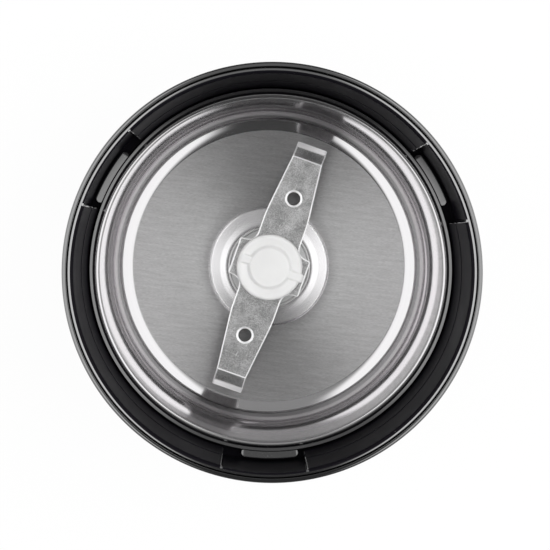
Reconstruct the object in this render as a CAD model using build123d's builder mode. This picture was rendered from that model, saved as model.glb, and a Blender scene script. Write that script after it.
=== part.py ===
from build123d import *
from math import hypot, sqrt
import os

os.makedirs("parts", exist_ok=True)

# Electric spice grinder: a round motor base with a well, and a removable steel grinding bowl
# that drops into the well with three lugs and locks with a short turn to the right.
# Millimetres, +Z up, origin on the table under the middle of the base, button at the front (-Y).

# ---------------------------------------------------------------------------------------------
# Fits
# ---------------------------------------------------------------------------------------------
running_gap = 0.05  # radial, between a shaft and its bush or seal
seat_gap = 0.02  # radial, between round pieces that are pressed or glued together
assembly_gap = 0.15  # around pieces that are put together by hand
moving_gap = 0.3  # between pieces that pass each other

# ---------------------------------------------------------------------------------------------
# Casing
# ---------------------------------------------------------------------------------------------
base_flare = 3.0  # the foot of the casing stands out past its rim
casing_wall = 2.6
casing_lip = 1.05  # the thinner wall beside the liner
parting_gap = 0.2  # the line seen between casing and liner
shoulder_depth = 25.0  # below the rim: the ledge that carries the liner
shoulder_width = 1.5
shoulder_height = 6.0
rim_round = 0.95
cut_past = 5.0  # how far the cut-outs for button and inlet start outside the casing

foot_height = 3.0
foot_radius = 6.0
foot_recess = 1.0
foot_inset = 4.0  # from the edge of the base
base_thickness = 2.5
base_rim_height = 6.0
spigot_height = 4.0  # above the base rim, inside the casing
spigot_wall = 1.8
vent_length = 13.0
vent_width = 3.0
vent_count = 20

# ---------------------------------------------------------------------------------------------
# Well of the base
# ---------------------------------------------------------------------------------------------
liner_lip = 1.45  # thickness of the liner at the rim
throat_draft = 1.8  # the well wall narrows by this from the rim to the ledge
lip_round = 0.9
throat_depth = 19.5  # underside of the wall's ledge, below the rim
lug_count = 3
lug_angle = 29.5  # middle of the first lug, from +X
lug_sweep = 18.0
lug_thickness = 2.6
lug_reach = 2.0  # lugs beyond the collar
pocket_ahead = 5.2  # room in a pocket before the lug, in degrees
pocket_behind = 1.2
lock_turn = 26.0  # turn that brings the lugs under the ledge
shelf_depth = 32.0  # the shelf that carries the bowl's gasket
shelf_width = 1.9
shelf_thickness = 2.0
liner_wall = 2.0
well_floor = 2.5
dam_radius = 12.5  # ring that keeps spilt powder off the drive
dam_wall = 1.5
dam_height = 2.6

# ---------------------------------------------------------------------------------------------
# Grinding bowl
# ---------------------------------------------------------------------------------------------
bowl_sheet = 0.5
bowl_rim_depth = 18.6  # top of the rolled rim, below the casing's rim
bowl_roll = 0.6  # radius of the rolled rim
bowl_rim_width = 1.3
bowl_wall_draft = 1.6  # from the rim to the low end of the upper wall
bowl_shoulder_width = 1.1
bowl_step_width = 1.55
bowl_corner_width = 2.15
bowl_wall_height = 9.5  # low end of the upper wall, above the bowl's floor
bowl_step_height = 3.6
bowl_corner_height = 0.7
bowl_floor_depth = 52.3
boss_foot_radius = 16.2
boss_edge_radius = 15.6  # top of the steep step round the boss
boss_slope_radius = 13.45
boss_top_radius = 12.0
boss_edge_height = 2.75
boss_slope_height = 3.2
boss_height = 3.9

collar_height = 0.7  # the collar's top below the bowl's rolled rim
collar_gap = 0.5  # radial, between the collar and the well
collar_wall = 1.0
gasket_thickness = 2.0
gasket_width = 1.4

bowl_base_wall = 1.6
bowl_base_web = 2.9
bowl_base_floor_gap = 2.5  # above the well's floor
bowl_base_lip = 1.7  # stands up round the bowl's corner
bowl_base_lip_gap = 0.5
bowl_hub_radius = 11.4
bowl_rib_radius = 17.0

# ---------------------------------------------------------------------------------------------
# Blade and its shaft
# ---------------------------------------------------------------------------------------------
blade_angle = 70.3  # the blade's line, from +X
blade_reach = 33.5  # tip from the axis
blade_bend = 30.9  # where the tip turns up
blade_lip_height = 4.6
blade_thickness = 1.6
blade_root_width = 12.0
blade_waist = 14.0  # distance from the axis where the arm starts to narrow
blade_tip_width = 8.2
blade_ear_reach = 9.95
blade_ear_width = 10.2
blade_notch = 2.6
blade_hole = 1.8
blade_hole_reach = 19.4

shaft_radius = 3.0
washer_radius = 11.0
washer_thickness = 0.8
cap_radius = 9.0
cap_height = 2.7
cap_disc_radius = 5.75
cap_disc_height = 0.35
cap_shell = 1.3  # over the end of the shaft
cap_round = 0.9
cap_rib_width = 2.4
cap_rib_reach = 9.7

bush_radius = 6.0
bush_flange_radius = 8.5
bush_flange = 0.8
bush_end = 0.3  # the bush stands out below its nut
seal_radius = 4.8
seal_height = 2.0
nut_size = 16.0  # across the flats
nut_height = 3.0
clip_radius = 5.0
clip_thickness = 0.8
clip_groove = 0.4

dog_radius = 11.0
dog_disc = 2.4
dog_hub_radius = 4.8
dog_lug_inner = 5.5
dog_lug_outer = 10.5
dog_lug_height = 3.5
dog_lug_sweep = 40.0
dog_end_gap = 0.5
dog_floor_gap = 1.3  # between the coupling and the well's floor

# ---------------------------------------------------------------------------------------------
# Motor
# ---------------------------------------------------------------------------------------------
fan_height = 5.0
fan_radius = 26.0
fan_disc = 1.2
fan_blades = 9
fan_blade_thickness = 1.2
fan_hub_radius = 6.5
fan_floor_gap = 3.5
bracket_gap = 2.9  # between the fan and the lower bracket
bracket_thickness = 2.0
bracket_width = 16.0
bracket_end = 5.2  # the bracket reaches past its bolts
bearing_length = 6.0
bearing_rise = 3.0  # bearing above its bracket
bearing_radius = 6.0
bearing_boss_radius = 8.5
thrust_thickness = 0.7
thrust_radius = 5.4
commutator_radius = 9.0
commutator_length = 9.0
commutator_slits = 12
slit_depth = 1.0
slit_width = 0.6
winding_radius = 13.4
winding_height = 4.5
armature_radius = 14.7
armature_slots = 12
armature_slot_depth = 2.0
armature_slot_width = 1.6
stack_length = 20.0
air_gap = 0.35
bolt_wall = 3.25  # from a bolt's middle to the side of the stator
stator_round = 8.0
coil_thickness = 5.0
coil_room = 4.3  # between the coil and the yoke
pole_half = 8.0
shoe_wall = 2.45
yoke_wall = 4.5
pole_gap_half = 6.0
coil_overhang = 6.0
bolt_radius = 1.7
bolt_head_radius = 3.0
bolt_head = 2.2
spacer_radius = 3.0
plate_gap = 2.0  # between the upper bracket and the pillars
window_length = 12.0
window_width = 8.0
window_inset = 10.0  # inside the circle of the posts
post_inset = 4.5  # from the edge of the upper bracket
post_radius = 4.0
post_length = 7.0
grommet_radius = 5.0
grommet_thickness = 2.5
screw_radius = 1.5
screw_head_radius = 3.2
screw_head = 2.0
screw_bite = 6.0
screw_cross = 0.8
brush_width = 5.0
brush_height = 6.0
brush_length = 9.0
brush_sleeve = 1.0
sleeve_length = 12.0
brush_end_gap = 0.3

# ---------------------------------------------------------------------------------------------
# Pillars, switch and filter
# ---------------------------------------------------------------------------------------------
pillar_radius = 4.5
pillar_inset = 1.1  # from the outside of the well
pillar_foot = 14.0
pillar_slot = 2.2
card_thickness = 1.6
card_height = 22.0
card_gap = 1.5  # below the motor screws

button_width = 24.0
button_tall = 16.0
button_corner = 6.0
face_proud = 1.24  # the button's and the inlet's faces, past the casing at the inlet
button_travel = 2.5
button_flange = 1.5
button_flange_grow = 1.5
button_round = 1.0
bezel_wall = 1.8
bezel_proud = 0.7
bezel_flange = 1.5
bezel_flange_thickness = 1.1
spring_side = -7.0
spring_radius = 2.9
spring_wire = 0.35
spring_turns = 6
spring_stub = 1.9
stub_length = 6.0
switch_side = 6.0
switch_width = 13.0
switch_tall = 10.0
switch_depth = 8.0
plunger_radius = 1.25
plunger_length = 5.0
plunger_bore = 6.0
switch_clearance = 0.15  # between the pressed button and the switch
switch_tab = 4.0

inlet_height = 22.0
inlet_radius = 6.8
inlet_flange_radius = 8.5
inlet_bore = 3.4
inlet_flange_thickness = 1.8
inlet_chamfer = 0.8

terminal_size = 18.0
terminal_depth = 9.0
terminal_tall = 9.0
terminal_inset = 13.4  # from the inside of the casing to the block's middle
terminal_hole = 1.8
capacitor_width = 16.0
capacitor_depth = 7.0
capacitor_tall = 12.0
capacitor_side = -11.0
choke_radius = 3.4
choke_length = 13.0
choke_side = 6.5
choke_pitch = 9.0
wire_radius = 0.8
wire_bend = 3.0
wire_side = 14.0

# ---------------------------------------------------------------------------------------------
# Levels, from the table upwards
# ---------------------------------------------------------------------------------------------
base_floor = foot_height + base_thickness
base_rim_top = foot_height + base_rim_height
fan_bottom = base_floor + fan_floor_gap
fan_top = fan_bottom + fan_height
lower_plate = fan_top + bracket_gap
lower_bearing_top = lower_plate + bracket_thickness + bearing_rise
commutator_bottom = lower_bearing_top + thrust_thickness + 0.1
commutator_top = commutator_bottom + commutator_length
stack_bottom = commutator_top + 0.6 + winding_height
stack_top = stack_bottom + stack_length
windings_top = stack_top + winding_height
upper_bearing_bottom = windings_top + thrust_thickness + 0.6
upper_plate = stack_top + coil_overhang + 1.0
upper_plate_top = upper_plate + bracket_thickness
post_bottom = upper_plate_top + grommet_thickness
brush_level = (commutator_bottom + commutator_top) / 2

floor_under = post_bottom + post_length
floor_level = floor_under + well_floor
drive_bottom = floor_level + dog_floor_gap
drive_disc_top = drive_bottom + dog_disc
drive_tip = drive_disc_top + dog_lug_height
driven_under = drive_tip + dog_end_gap
driven_top = driven_under + dog_disc
clip_bottom = driven_top + 0.2
bush_bottom = clip_bottom + clip_thickness + 0.1
web_under = bush_bottom + bush_end + nut_height
bowl_floor = web_under + bowl_base_web + bowl_sheet
boss_top = bowl_floor + boss_height
bush_top = boss_top + bush_flange
washer_bottom = bush_top + 0.1
blade_bottom = washer_bottom + washer_thickness
blade_top = blade_bottom + blade_thickness
cap_top = blade_top + cap_height

rim_height = bowl_floor + bowl_floor_depth
shoulder_level = rim_height - shoulder_depth
throat_level = rim_height - throat_depth
lug_top = throat_level - moving_gap
lug_bottom = lug_top - lug_thickness
channel_bottom = lug_bottom - moving_gap
shelf_level = rim_height - shelf_depth
collar_bottom = shelf_level + gasket_thickness
bowl_rim = rim_height - bowl_rim_depth
collar_top = bowl_rim - collar_height

card_high = upper_plate - screw_head - card_gap
card_low = card_high - card_height
button_height = (card_low + card_high) / 2

# ---------------------------------------------------------------------------------------------
# Radii, reaches and angles, from the motor outwards, then from the well into the bowl
# ---------------------------------------------------------------------------------------------
slot_width = coil_thickness + 2 * seat_gap
shoe_reach = armature_radius + air_gap + shoe_wall
bolt_reach = shoe_reach + slot_width + 0.2 + spacer_radius
stator_half = bolt_reach + bolt_wall
coil_half = armature_radius + air_gap + 0.15
yoke_inner = coil_half + coil_room
stator_depth = 2 * (yoke_inner + yoke_wall)
bracket_length = 2 * (bolt_reach + bracket_end)

pillar_reach = stator_half
pillar_circle = pillar_reach * sqrt(2)
plate_radius = pillar_circle - pillar_radius - plate_gap
post_circle = plate_radius - post_inset
vent_circle = pillar_circle - pillar_radius - 1.0 - vent_length / 2
card_half = pillar_reach - pillar_radius + pillar_slot
card_front = pillar_reach + card_thickness / 2

well_outer = pillar_circle + pillar_radius + pillar_inset
well_radius = well_outer - liner_wall
throat_radius = well_radius + shelf_width
mouth_radius = throat_radius + throat_draft
liner_radius = mouth_radius + liner_lip
rim_radius = liner_radius + parting_gap + casing_lip
shoulder_radius = liner_radius + parting_gap - shoulder_width
base_radius = rim_radius + base_flare
casing_inner = base_radius - casing_wall
foot_circle = base_radius - foot_inset - foot_radius
terminal_reach = casing_inner - terminal_inset

collar_radius = throat_radius - collar_gap
lug_radius = collar_radius + lug_reach
pocket_radius = lug_radius + 2 * moving_gap
pocket_start = lug_angle - lug_sweep / 2 - pocket_ahead
pocket_end = lug_angle + lug_sweep / 2 + pocket_behind
channel_start = lug_angle - lug_sweep / 2 - lock_turn - 1.0

bowl_rim_radius = collar_radius - collar_wall
bowl_mouth_radius = bowl_rim_radius - bowl_rim_width
bowl_wall_radius = bowl_mouth_radius - bowl_wall_draft
bowl_step_radius = bowl_wall_radius - bowl_shoulder_width
bowl_corner_radius = bowl_step_radius - bowl_step_width
bowl_floor_radius = bowl_corner_radius - bowl_corner_width
bowl_base_radius = bowl_corner_radius + bowl_sheet + bowl_base_lip_gap + bowl_base_wall


def casing_radius(level):
    """Outside radius of the casing at a height above the table."""
    share = (level - base_rim_top) / (rim_height - base_rim_top)
    return base_radius + (rim_radius - base_radius) * share


def casing_bore(level):
    """Inside radius of the casing between its shoulder and its foot, at a height above the table."""
    low = base_rim_top + 2 * spigot_height
    high = shoulder_level - shoulder_height
    return casing_inner + (shoulder_radius - casing_inner) * (level - low) / (high - low)


def chord_reach(radius, half_width):
    """How far from the axis a flat piece of this half width touches the inside of a circle."""
    return sqrt(radius**2 - half_width**2)


def meridian(angle):
    """The plane through the axis at an angle from +X: its x runs outwards, its y upwards."""
    return Plane.XZ.rotated((0, 0, angle))


def facing(reach, level):
    """A plane at the front, looking along -Y: its x runs along +X, its y upwards."""
    return Plane(origin=(0, -reach, level), x_dir=(1, 0, 0), z_dir=(0, -1, 0))


def ring_face(inner, outer, low, high):
    """Draws the section of a plain ring; used inside a sketch on a plane through the axis."""
    with Locations(((inner + outer) / 2, (low + high) / 2)):
        Rectangle(outer - inner, high - low)


def axis_distance(edge):
    """Distance of an edge's middle from the grinder's axis, to the nearest 0.01 mm."""
    return round(hypot(edge.center().X, edge.center().Y), 2)


def outline(*points):
    """Draws a closed section from its corners, where they stand; used inside a sketch."""
    Polygon(*points, align=None)


# ---------------------------------------------------------------------------------------------
# Base: casing, liner, base plate, feet and screws
# ---------------------------------------------------------------------------------------------
bezel_width = button_width + 2 * (moving_gap + bezel_wall)
bezel_tall = button_tall + 2 * (moving_gap + bezel_wall)
face_reach = casing_radius(inlet_height - inlet_flange_radius) + face_proud
bezel_half = bezel_width / 2 + bezel_flange
bezel_back = chord_reach(casing_bore(button_height + bezel_half), bezel_half) - bezel_flange_thickness - 0.1
flange_front = bezel_back - 0.2
flange_back = flange_front - button_flange
inlet_bore_radius = casing_bore(inlet_height + inlet_flange_radius)
inlet_back = chord_reach(inlet_bore_radius, inlet_flange_radius) - inlet_flange_thickness

with BuildPart() as outer_casing:
    with BuildSketch(Plane.XZ):
        outline(
            (base_radius, base_rim_top),
            (rim_radius, rim_height),
            (rim_radius - casing_lip, rim_height),
            (rim_radius - casing_lip, shoulder_level),
            (shoulder_radius, shoulder_level),
            (shoulder_radius, shoulder_level - shoulder_height),
            (casing_inner, base_rim_top + 2 * spigot_height),
            (casing_inner, base_rim_top),
        )
    revolve(axis=Axis.Z)
    rim_edges = outer_casing.edges().filter_by(GeomType.CIRCLE).group_by(Axis.Z)[-1]
    fillet(rim_edges.sort_by(SortBy.RADIUS)[-1], radius=rim_round)
    foot_edges = outer_casing.edges().filter_by(GeomType.CIRCLE).group_by(Axis.Z)[0]
    chamfer(foot_edges.sort_by(SortBy.RADIUS)[-1], length=0.4)
    with BuildSketch(facing(base_radius + cut_past, button_height)):
        RectangleRounded(
            bezel_width + 2 * assembly_gap,
            bezel_tall + 2 * assembly_gap,
            button_corner + bezel_wall,
        )
    extrude(amount=-(base_radius - flange_back + cut_past), mode=Mode.SUBTRACT)
    with BuildSketch(Plane.XZ.offset(-inlet_back)):
        with Locations((0, inlet_height)):
            Circle(inlet_radius + seat_gap)
    extrude(amount=-(base_radius - inlet_back + cut_past), mode=Mode.SUBTRACT)
outer_casing.part.label = "outer_casing"
export_step(outer_casing.part, "parts/outer_casing.step")

with BuildPart() as well_liner:
    with BuildSketch(Plane.XZ):
        outline(
            (mouth_radius, rim_height),
            (liner_radius, rim_height),
            (liner_radius, shoulder_level),
            (shoulder_radius - assembly_gap, shoulder_level),
            (shoulder_radius - assembly_gap, shelf_level - shelf_thickness),
            (well_outer, shelf_level - shelf_thickness),
            (well_outer, floor_under),
            (seal_radius + 2.2, floor_under),
            (seal_radius + 2.2, floor_level),
            (dam_radius, floor_level),
            (dam_radius, floor_level + dam_height),
            (dam_radius + dam_wall, floor_level + dam_height),
            (dam_radius + dam_wall, floor_level),
            (well_radius, floor_level),
            (well_radius, shelf_level),
            (throat_radius, shelf_level),
            (throat_radius, throat_level),
        )
    revolve(axis=Axis.Z)
    mouth_edges = well_liner.edges().filter_by(GeomType.CIRCLE).group_by(Axis.Z)[-1]
    fillet(mouth_edges.sort_by(SortBy.RADIUS)[0], radius=lip_round)
    for step in range(lug_count):
        turn = step * 360 / lug_count
        with BuildSketch(meridian(pocket_start + turn)):
            ring_face(well_radius, pocket_radius, channel_bottom, rim_height + 1)
        revolve(axis=Axis.Z, revolution_arc=pocket_end - pocket_start, mode=Mode.SUBTRACT)
        with BuildSketch(meridian(channel_start + turn)):
            ring_face(well_radius, pocket_radius, channel_bottom, throat_level)
        revolve(axis=Axis.Z, revolution_arc=pocket_end - channel_start, mode=Mode.SUBTRACT)
    with BuildSketch(Plane.XY.offset(pillar_foot)):
        with GridLocations(2 * pillar_reach, 2 * pillar_reach, 2, 2):
            Circle(pillar_radius)
    extrude(amount=floor_under - pillar_foot)
    with BuildSketch(Plane.XY.offset(post_bottom)):
        with PolarLocations(post_circle, 3, start_angle=90):
            Circle(post_radius)
    extrude(amount=floor_under - post_bottom)
    with BuildSketch(Plane.XY.offset(pillar_foot)):
        with GridLocations(2 * pillar_reach, 2 * pillar_reach, 2, 2):
            Circle(screw_radius + seat_gap)
    extrude(amount=screw_bite + 4, mode=Mode.SUBTRACT)
    with BuildSketch(Plane.XY.offset(post_bottom)):
        with PolarLocations(post_circle, 3, start_angle=90):
            Circle(screw_radius + seat_gap)
    extrude(amount=screw_bite + 0.5, mode=Mode.SUBTRACT)
    with BuildSketch(Plane.XY.offset(card_low)):
        with GridLocations(0, 2 * pillar_reach, 1, 2):
            Rectangle(2 * card_half, card_thickness + 2 * seat_gap)
    extrude(amount=card_high - card_low, mode=Mode.SUBTRACT)
well_liner.part.label = "well_liner"
export_step(well_liner.part, "parts/well_liner.step")

with BuildPart() as base_plate:
    with BuildSketch(Plane.XZ):
        outline(
            (0, foot_height),
            (base_radius, foot_height),
            (base_radius, base_rim_top),
            (casing_inner - assembly_gap, base_rim_top),
            (casing_inner - assembly_gap, base_rim_top + spigot_height),
            (casing_inner - assembly_gap - spigot_wall, base_rim_top + spigot_height),
            (casing_inner - assembly_gap - spigot_wall, base_floor),
            (0, base_floor),
        )
    revolve(axis=Axis.Z)
    low_edges = base_plate.edges().filter_by(GeomType.CIRCLE).group_by(Axis.Z)[0]
    fillet(low_edges.sort_by(SortBy.RADIUS)[-1], radius=1.2)
    with BuildSketch(Plane.XY.offset(base_floor)):
        with GridLocations(2 * pillar_reach, 2 * pillar_reach, 2, 2):
            Circle(pillar_radius)
    extrude(amount=pillar_foot - base_floor)
    with BuildSketch(Plane.XY.offset(foot_height)):
        with GridLocations(2 * pillar_reach, 2 * pillar_reach, 2, 2):
            Circle(screw_radius + assembly_gap)
    extrude(amount=pillar_foot - foot_height, mode=Mode.SUBTRACT)
    with BuildSketch(Plane.XY.offset(foot_height)):
        with GridLocations(2 * pillar_reach, 2 * pillar_reach, 2, 2):
            Circle(screw_head_radius + assembly_gap)
        with PolarLocations(vent_circle, vent_count):
            SlotOverall(vent_length, vent_width)
    extrude(amount=base_thickness + 1, mode=Mode.SUBTRACT)
    with BuildSketch(Plane.XY.offset(foot_height)):
        with PolarLocations(foot_circle, 4):
            Circle(foot_radius + seat_gap)
    extrude(amount=foot_recess, mode=Mode.SUBTRACT)
base_plate.part.label = "base_plate"
export_step(base_plate.part, "parts/base_plate.step")

with BuildPart() as rubber_feet:
    with BuildSketch(Plane.XY):
        with PolarLocations(foot_circle, 4):
            Circle(foot_radius)
    extrude(amount=foot_height + foot_recess)
    chamfer(rubber_feet.edges().group_by(Axis.Z)[0], length=0.6)
rubber_feet.part.label = "rubber_feet"
export_step(rubber_feet.part, "parts/rubber_feet.step")

screw_seat = foot_height + base_thickness + 1
with BuildPart() as base_screws:
    with BuildSketch(Plane.XY.offset(screw_seat - screw_head)):
        with GridLocations(2 * pillar_reach, 2 * pillar_reach, 2, 2):
            Circle(screw_head_radius)
    extrude(amount=screw_head)
    with BuildSketch(Plane.XY.offset(screw_seat)):
        with GridLocations(2 * pillar_reach, 2 * pillar_reach, 2, 2):
            Circle(screw_radius)
    extrude(amount=pillar_foot + screw_bite - screw_seat)
    with BuildSketch(Plane.XY.offset(screw_seat - screw_head)):
        with GridLocations(2 * pillar_reach, 2 * pillar_reach, 2, 2):
            Rectangle(screw_head_radius, screw_cross)
            Rectangle(screw_cross, screw_head_radius)
    extrude(amount=screw_head / 2, mode=Mode.SUBTRACT)
base_screws.part.label = "base_screws"
export_step(base_screws.part, "parts/base_screws.step")

with BuildPart() as cord_inlet:
    with BuildSketch(Plane.XZ.offset(-inlet_back)):
        with Locations((0, inlet_height)):
            Circle(inlet_flange_radius)
    extrude(amount=-(face_reach - inlet_back))
    chamfer(cord_inlet.edges().group_by(Axis.Y)[-1], length=inlet_chamfer)
    with BuildSketch(Plane.XZ):
        low = inlet_height - 2 * inlet_flange_radius
        high = inlet_height + 2 * inlet_flange_radius
        inner = inlet_back + inlet_flange_thickness
        outline(
            (inner, low),
            (casing_radius(low) + seat_gap, low),
            (casing_radius(high) + seat_gap, high),
            (inner, high),
        )
    revolve(axis=Axis.Z, mode=Mode.SUBTRACT)
    with BuildSketch(Plane.XZ.offset(-inlet_back)):
        with Locations((0, inlet_height)):
            Circle(inlet_radius)
    extrude(amount=-(face_reach - inlet_back - inlet_chamfer))
    with BuildSketch(Plane.XZ.offset(-inlet_back)):
        with Locations((0, inlet_height)):
            Circle(inlet_bore)
    extrude(amount=-(face_reach - inlet_back), mode=Mode.SUBTRACT)
cord_inlet.part.label = "cord_inlet"
export_step(cord_inlet.part, "parts/cord_inlet.step")

with BuildPart() as well_seal:
    with BuildSketch(Plane.XZ):
        ring_face(shaft_radius + running_gap, seal_radius + 2.2 - seat_gap, floor_under, floor_level)
        ring_face(shaft_radius + running_gap, seal_radius, floor_level, floor_level + 0.8)
    revolve(axis=Axis.Z)
well_seal.part.label = "well_seal"
export_step(well_seal.part, "parts/well_seal.step")

# ---------------------------------------------------------------------------------------------
# Motor, fixed pieces
# ---------------------------------------------------------------------------------------------
with BuildPart() as lower_bracket:
    with BuildSketch(Plane.XY.offset(lower_plate)):
        RectangleRounded(bracket_length, bracket_width, 3)
        Rectangle(bracket_width, bracket_length * 0.75)
    extrude(amount=bracket_thickness)
    with BuildSketch(Plane.XY.offset(lower_bearing_top - bearing_length)):
        Circle(bearing_boss_radius)
    extrude(amount=bearing_length)
    with BuildSketch(Plane.XY.offset(lower_plate)):
        with GridLocations(2 * bolt_reach, 0, 2, 1):
            Circle(spacer_radius)
    extrude(amount=stack_bottom - lower_plate)
    sleeve_low = brush_level - brush_height / 2 - brush_sleeve
    sleeve_middle = commutator_radius + brush_end_gap + 1 + sleeve_length / 2
    with BuildSketch(Plane.XY.offset(lower_plate)):
        with GridLocations(0, 2 * sleeve_middle, 1, 2):
            Rectangle(brush_width + 2 * brush_sleeve, sleeve_length - 4)
    extrude(amount=sleeve_low - lower_plate)
    with BuildSketch(Plane.XY.offset(lower_plate - bearing_length)):
        Circle(bearing_radius + seat_gap)
    extrude(amount=3 * bearing_length, mode=Mode.SUBTRACT)
    with BuildSketch(Plane.XY.offset(lower_plate)):
        with GridLocations(2 * bolt_reach, 0, 2, 1):
            Circle(bolt_radius + seat_gap)
    extrude(amount=stack_bottom - lower_plate, mode=Mode.SUBTRACT)
lower_bracket.part.label = "lower_bracket"
export_step(lower_bracket.part, "parts/lower_bracket.step")

with BuildPart() as upper_bracket:
    with BuildSketch(Plane.XY.offset(upper_plate)):
        Circle(plate_radius)
        with PolarLocations(post_circle, 3, start_angle=90):
            Circle(screw_radius + assembly_gap, mode=Mode.SUBTRACT)
        with GridLocations(2 * bolt_reach, 0, 2, 1):
            Circle(bolt_radius + seat_gap, mode=Mode.SUBTRACT)
        with PolarLocations(post_circle - window_inset, 3, start_angle=30):
            SlotOverall(window_length, window_width, rotation=90, mode=Mode.SUBTRACT)
    extrude(amount=bracket_thickness)
    with BuildSketch(Plane.XY.offset(upper_bearing_bottom)):
        Circle(bearing_boss_radius)
    extrude(amount=bearing_length)
    with BuildSketch(Plane.XY.offset(upper_bearing_bottom - 1)):
        Circle(bearing_radius + seat_gap)
    extrude(amount=bearing_length + 2, mode=Mode.SUBTRACT)
upper_bracket.part.label = "upper_bracket"
export_step(upper_bracket.part, "parts/upper_bracket.step")

with BuildPart() as lower_bearing:
    with BuildSketch(Plane.XZ):
        ring_face(
            shaft_radius + running_gap,
            bearing_radius,
            lower_bearing_top - bearing_length,
            lower_bearing_top,
        )
    revolve(axis=Axis.Z)
lower_bearing.part.label = "lower_bearing"
export_step(lower_bearing.part, "parts/lower_bearing.step")

with BuildPart() as upper_bearing:
    with BuildSketch(Plane.XZ):
        ring_face(
            shaft_radius + running_gap,
            bearing_radius,
            upper_bearing_bottom,
            upper_bearing_bottom + bearing_length,
        )
    revolve(axis=Axis.Z)
upper_bearing.part.label = "upper_bearing"
export_step(upper_bearing.part, "parts/upper_bearing.step")

with BuildPart() as stator_core:
    with BuildSketch(Plane.XY.offset(stack_bottom)):
        RectangleRounded(2 * stator_half, stator_depth, stator_round)
        Circle(armature_radius + air_gap, mode=Mode.SUBTRACT)
        for side in (-1, 1):
            with Locations((0, side * (coil_half + yoke_inner) / 2)):
                Rectangle(2 * shoe_reach + 2 * slot_width, yoke_inner - coil_half, mode=Mode.SUBTRACT)
            with Locations((0, side * yoke_inner / 2)):
                Rectangle(2 * pole_gap_half, yoke_inner, mode=Mode.SUBTRACT)
            with Locations((0, side * (pole_half + yoke_inner) / 2)):
                with GridLocations(2 * shoe_reach + slot_width, 0, 2, 1):
                    Rectangle(slot_width, yoke_inner - pole_half, mode=Mode.SUBTRACT)
        with GridLocations(2 * bolt_reach, 0, 2, 1):
            Circle(bolt_radius + seat_gap, mode=Mode.SUBTRACT)
    extrude(amount=stack_length)
stator_core.part.label = "stator_core"
export_step(stator_core.part, "parts/stator_core.step")

with BuildPart() as field_coils:
    for side in (-1, 1):
        middle = side * (shoe_reach + slot_width / 2) - coil_thickness / 2
        with BuildSketch(Plane.YZ.offset(middle)):
            with Locations((0, stack_bottom + stack_length / 2)):
                RectangleRounded(2 * coil_half, stack_length + 2 * coil_overhang, 4)
                Rectangle(2 * pole_half, stack_length, mode=Mode.SUBTRACT)
        extrude(amount=coil_thickness)
field_coils.part.label = "field_coils"
export_step(field_coils.part, "parts/field_coils.step")

with BuildPart() as stator_spacers:
    with BuildSketch(Plane.XY.offset(stack_top)):
        with GridLocations(2 * bolt_reach, 0, 2, 1):
            Circle(spacer_radius)
            Circle(bolt_radius + seat_gap, mode=Mode.SUBTRACT)
    extrude(amount=upper_plate - stack_top)
stator_spacers.part.label = "stator_spacers"
export_step(stator_spacers.part, "parts/stator_spacers.step")

with BuildPart() as stator_bolts:
    with BuildSketch(Plane.XY.offset(lower_plate - bolt_head)):
        with GridLocations(2 * bolt_reach, 0, 2, 1):
            RegularPolygon(bolt_head_radius, 6)
    extrude(amount=bolt_head)
    with BuildSketch(Plane.XY.offset(lower_plate)):
        with GridLocations(2 * bolt_reach, 0, 2, 1):
            Circle(bolt_radius)
    extrude(amount=upper_plate_top - lower_plate)
    with BuildSketch(Plane.XY.offset(upper_plate_top)):
        with GridLocations(2 * bolt_reach, 0, 2, 1):
            RegularPolygon(bolt_head_radius, 6)
    extrude(amount=bolt_head)
stator_bolts.part.label = "stator_bolts"
export_step(stator_bolts.part, "parts/stator_bolts.step")

with BuildPart() as motor_grommets:
    with BuildSketch(Plane.XY.offset(upper_plate_top)):
        with PolarLocations(post_circle, 3, start_angle=90):
            Circle(grommet_radius)
            Circle(screw_radius + assembly_gap, mode=Mode.SUBTRACT)
    extrude(amount=grommet_thickness)
motor_grommets.part.label = "motor_grommets"
export_step(motor_grommets.part, "parts/motor_grommets.step")

with BuildPart() as motor_screws:
    with BuildSketch(Plane.XY.offset(upper_plate - screw_head)):
        with PolarLocations(post_circle, 3, start_angle=90):
            Circle(screw_head_radius)
    extrude(amount=screw_head)
    with BuildSketch(Plane.XY.offset(upper_plate)):
        with PolarLocations(post_circle, 3, start_angle=90):
            Circle(screw_radius)
    extrude(amount=post_bottom + screw_bite - upper_plate)
motor_screws.part.label = "motor_screws"
export_step(motor_screws.part, "parts/motor_screws.step")

with BuildPart() as brush_holders:
    for side in (-1, 1):
        near = side * (commutator_radius + brush_end_gap + 1)
        with BuildSketch(Plane.XZ.offset(-near)):
            with Locations((0, brush_level)):
                Rectangle(brush_width + 2 * brush_sleeve, brush_height + 2 * brush_sleeve)
                Rectangle(brush_width + 2 * seat_gap, brush_height + 2 * seat_gap, mode=Mode.SUBTRACT)
        extrude(amount=-side * (sleeve_length - 1.5))
        with BuildSketch(Plane.XZ.offset(-near - side * (sleeve_length - 1.5))):
            with Locations((0, brush_level)):
                Rectangle(brush_width + 2 * brush_sleeve, brush_height + 2 * brush_sleeve)
        extrude(amount=-side * 1.5)
brush_holders.part.label = "brush_holders"
export_step(brush_holders.part, "parts/brush_holders.step")

with BuildPart() as carbon_brushes:
    for side in (-1, 1):
        with BuildSketch(Plane.XZ.offset(-side * (commutator_radius + brush_end_gap))):
            with Locations((0, brush_level)):
                Rectangle(brush_width, brush_height)
        extrude(amount=-side * brush_length)
carbon_brushes.part.label = "carbon_brushes"
export_step(carbon_brushes.part, "parts/carbon_brushes.step")

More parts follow.
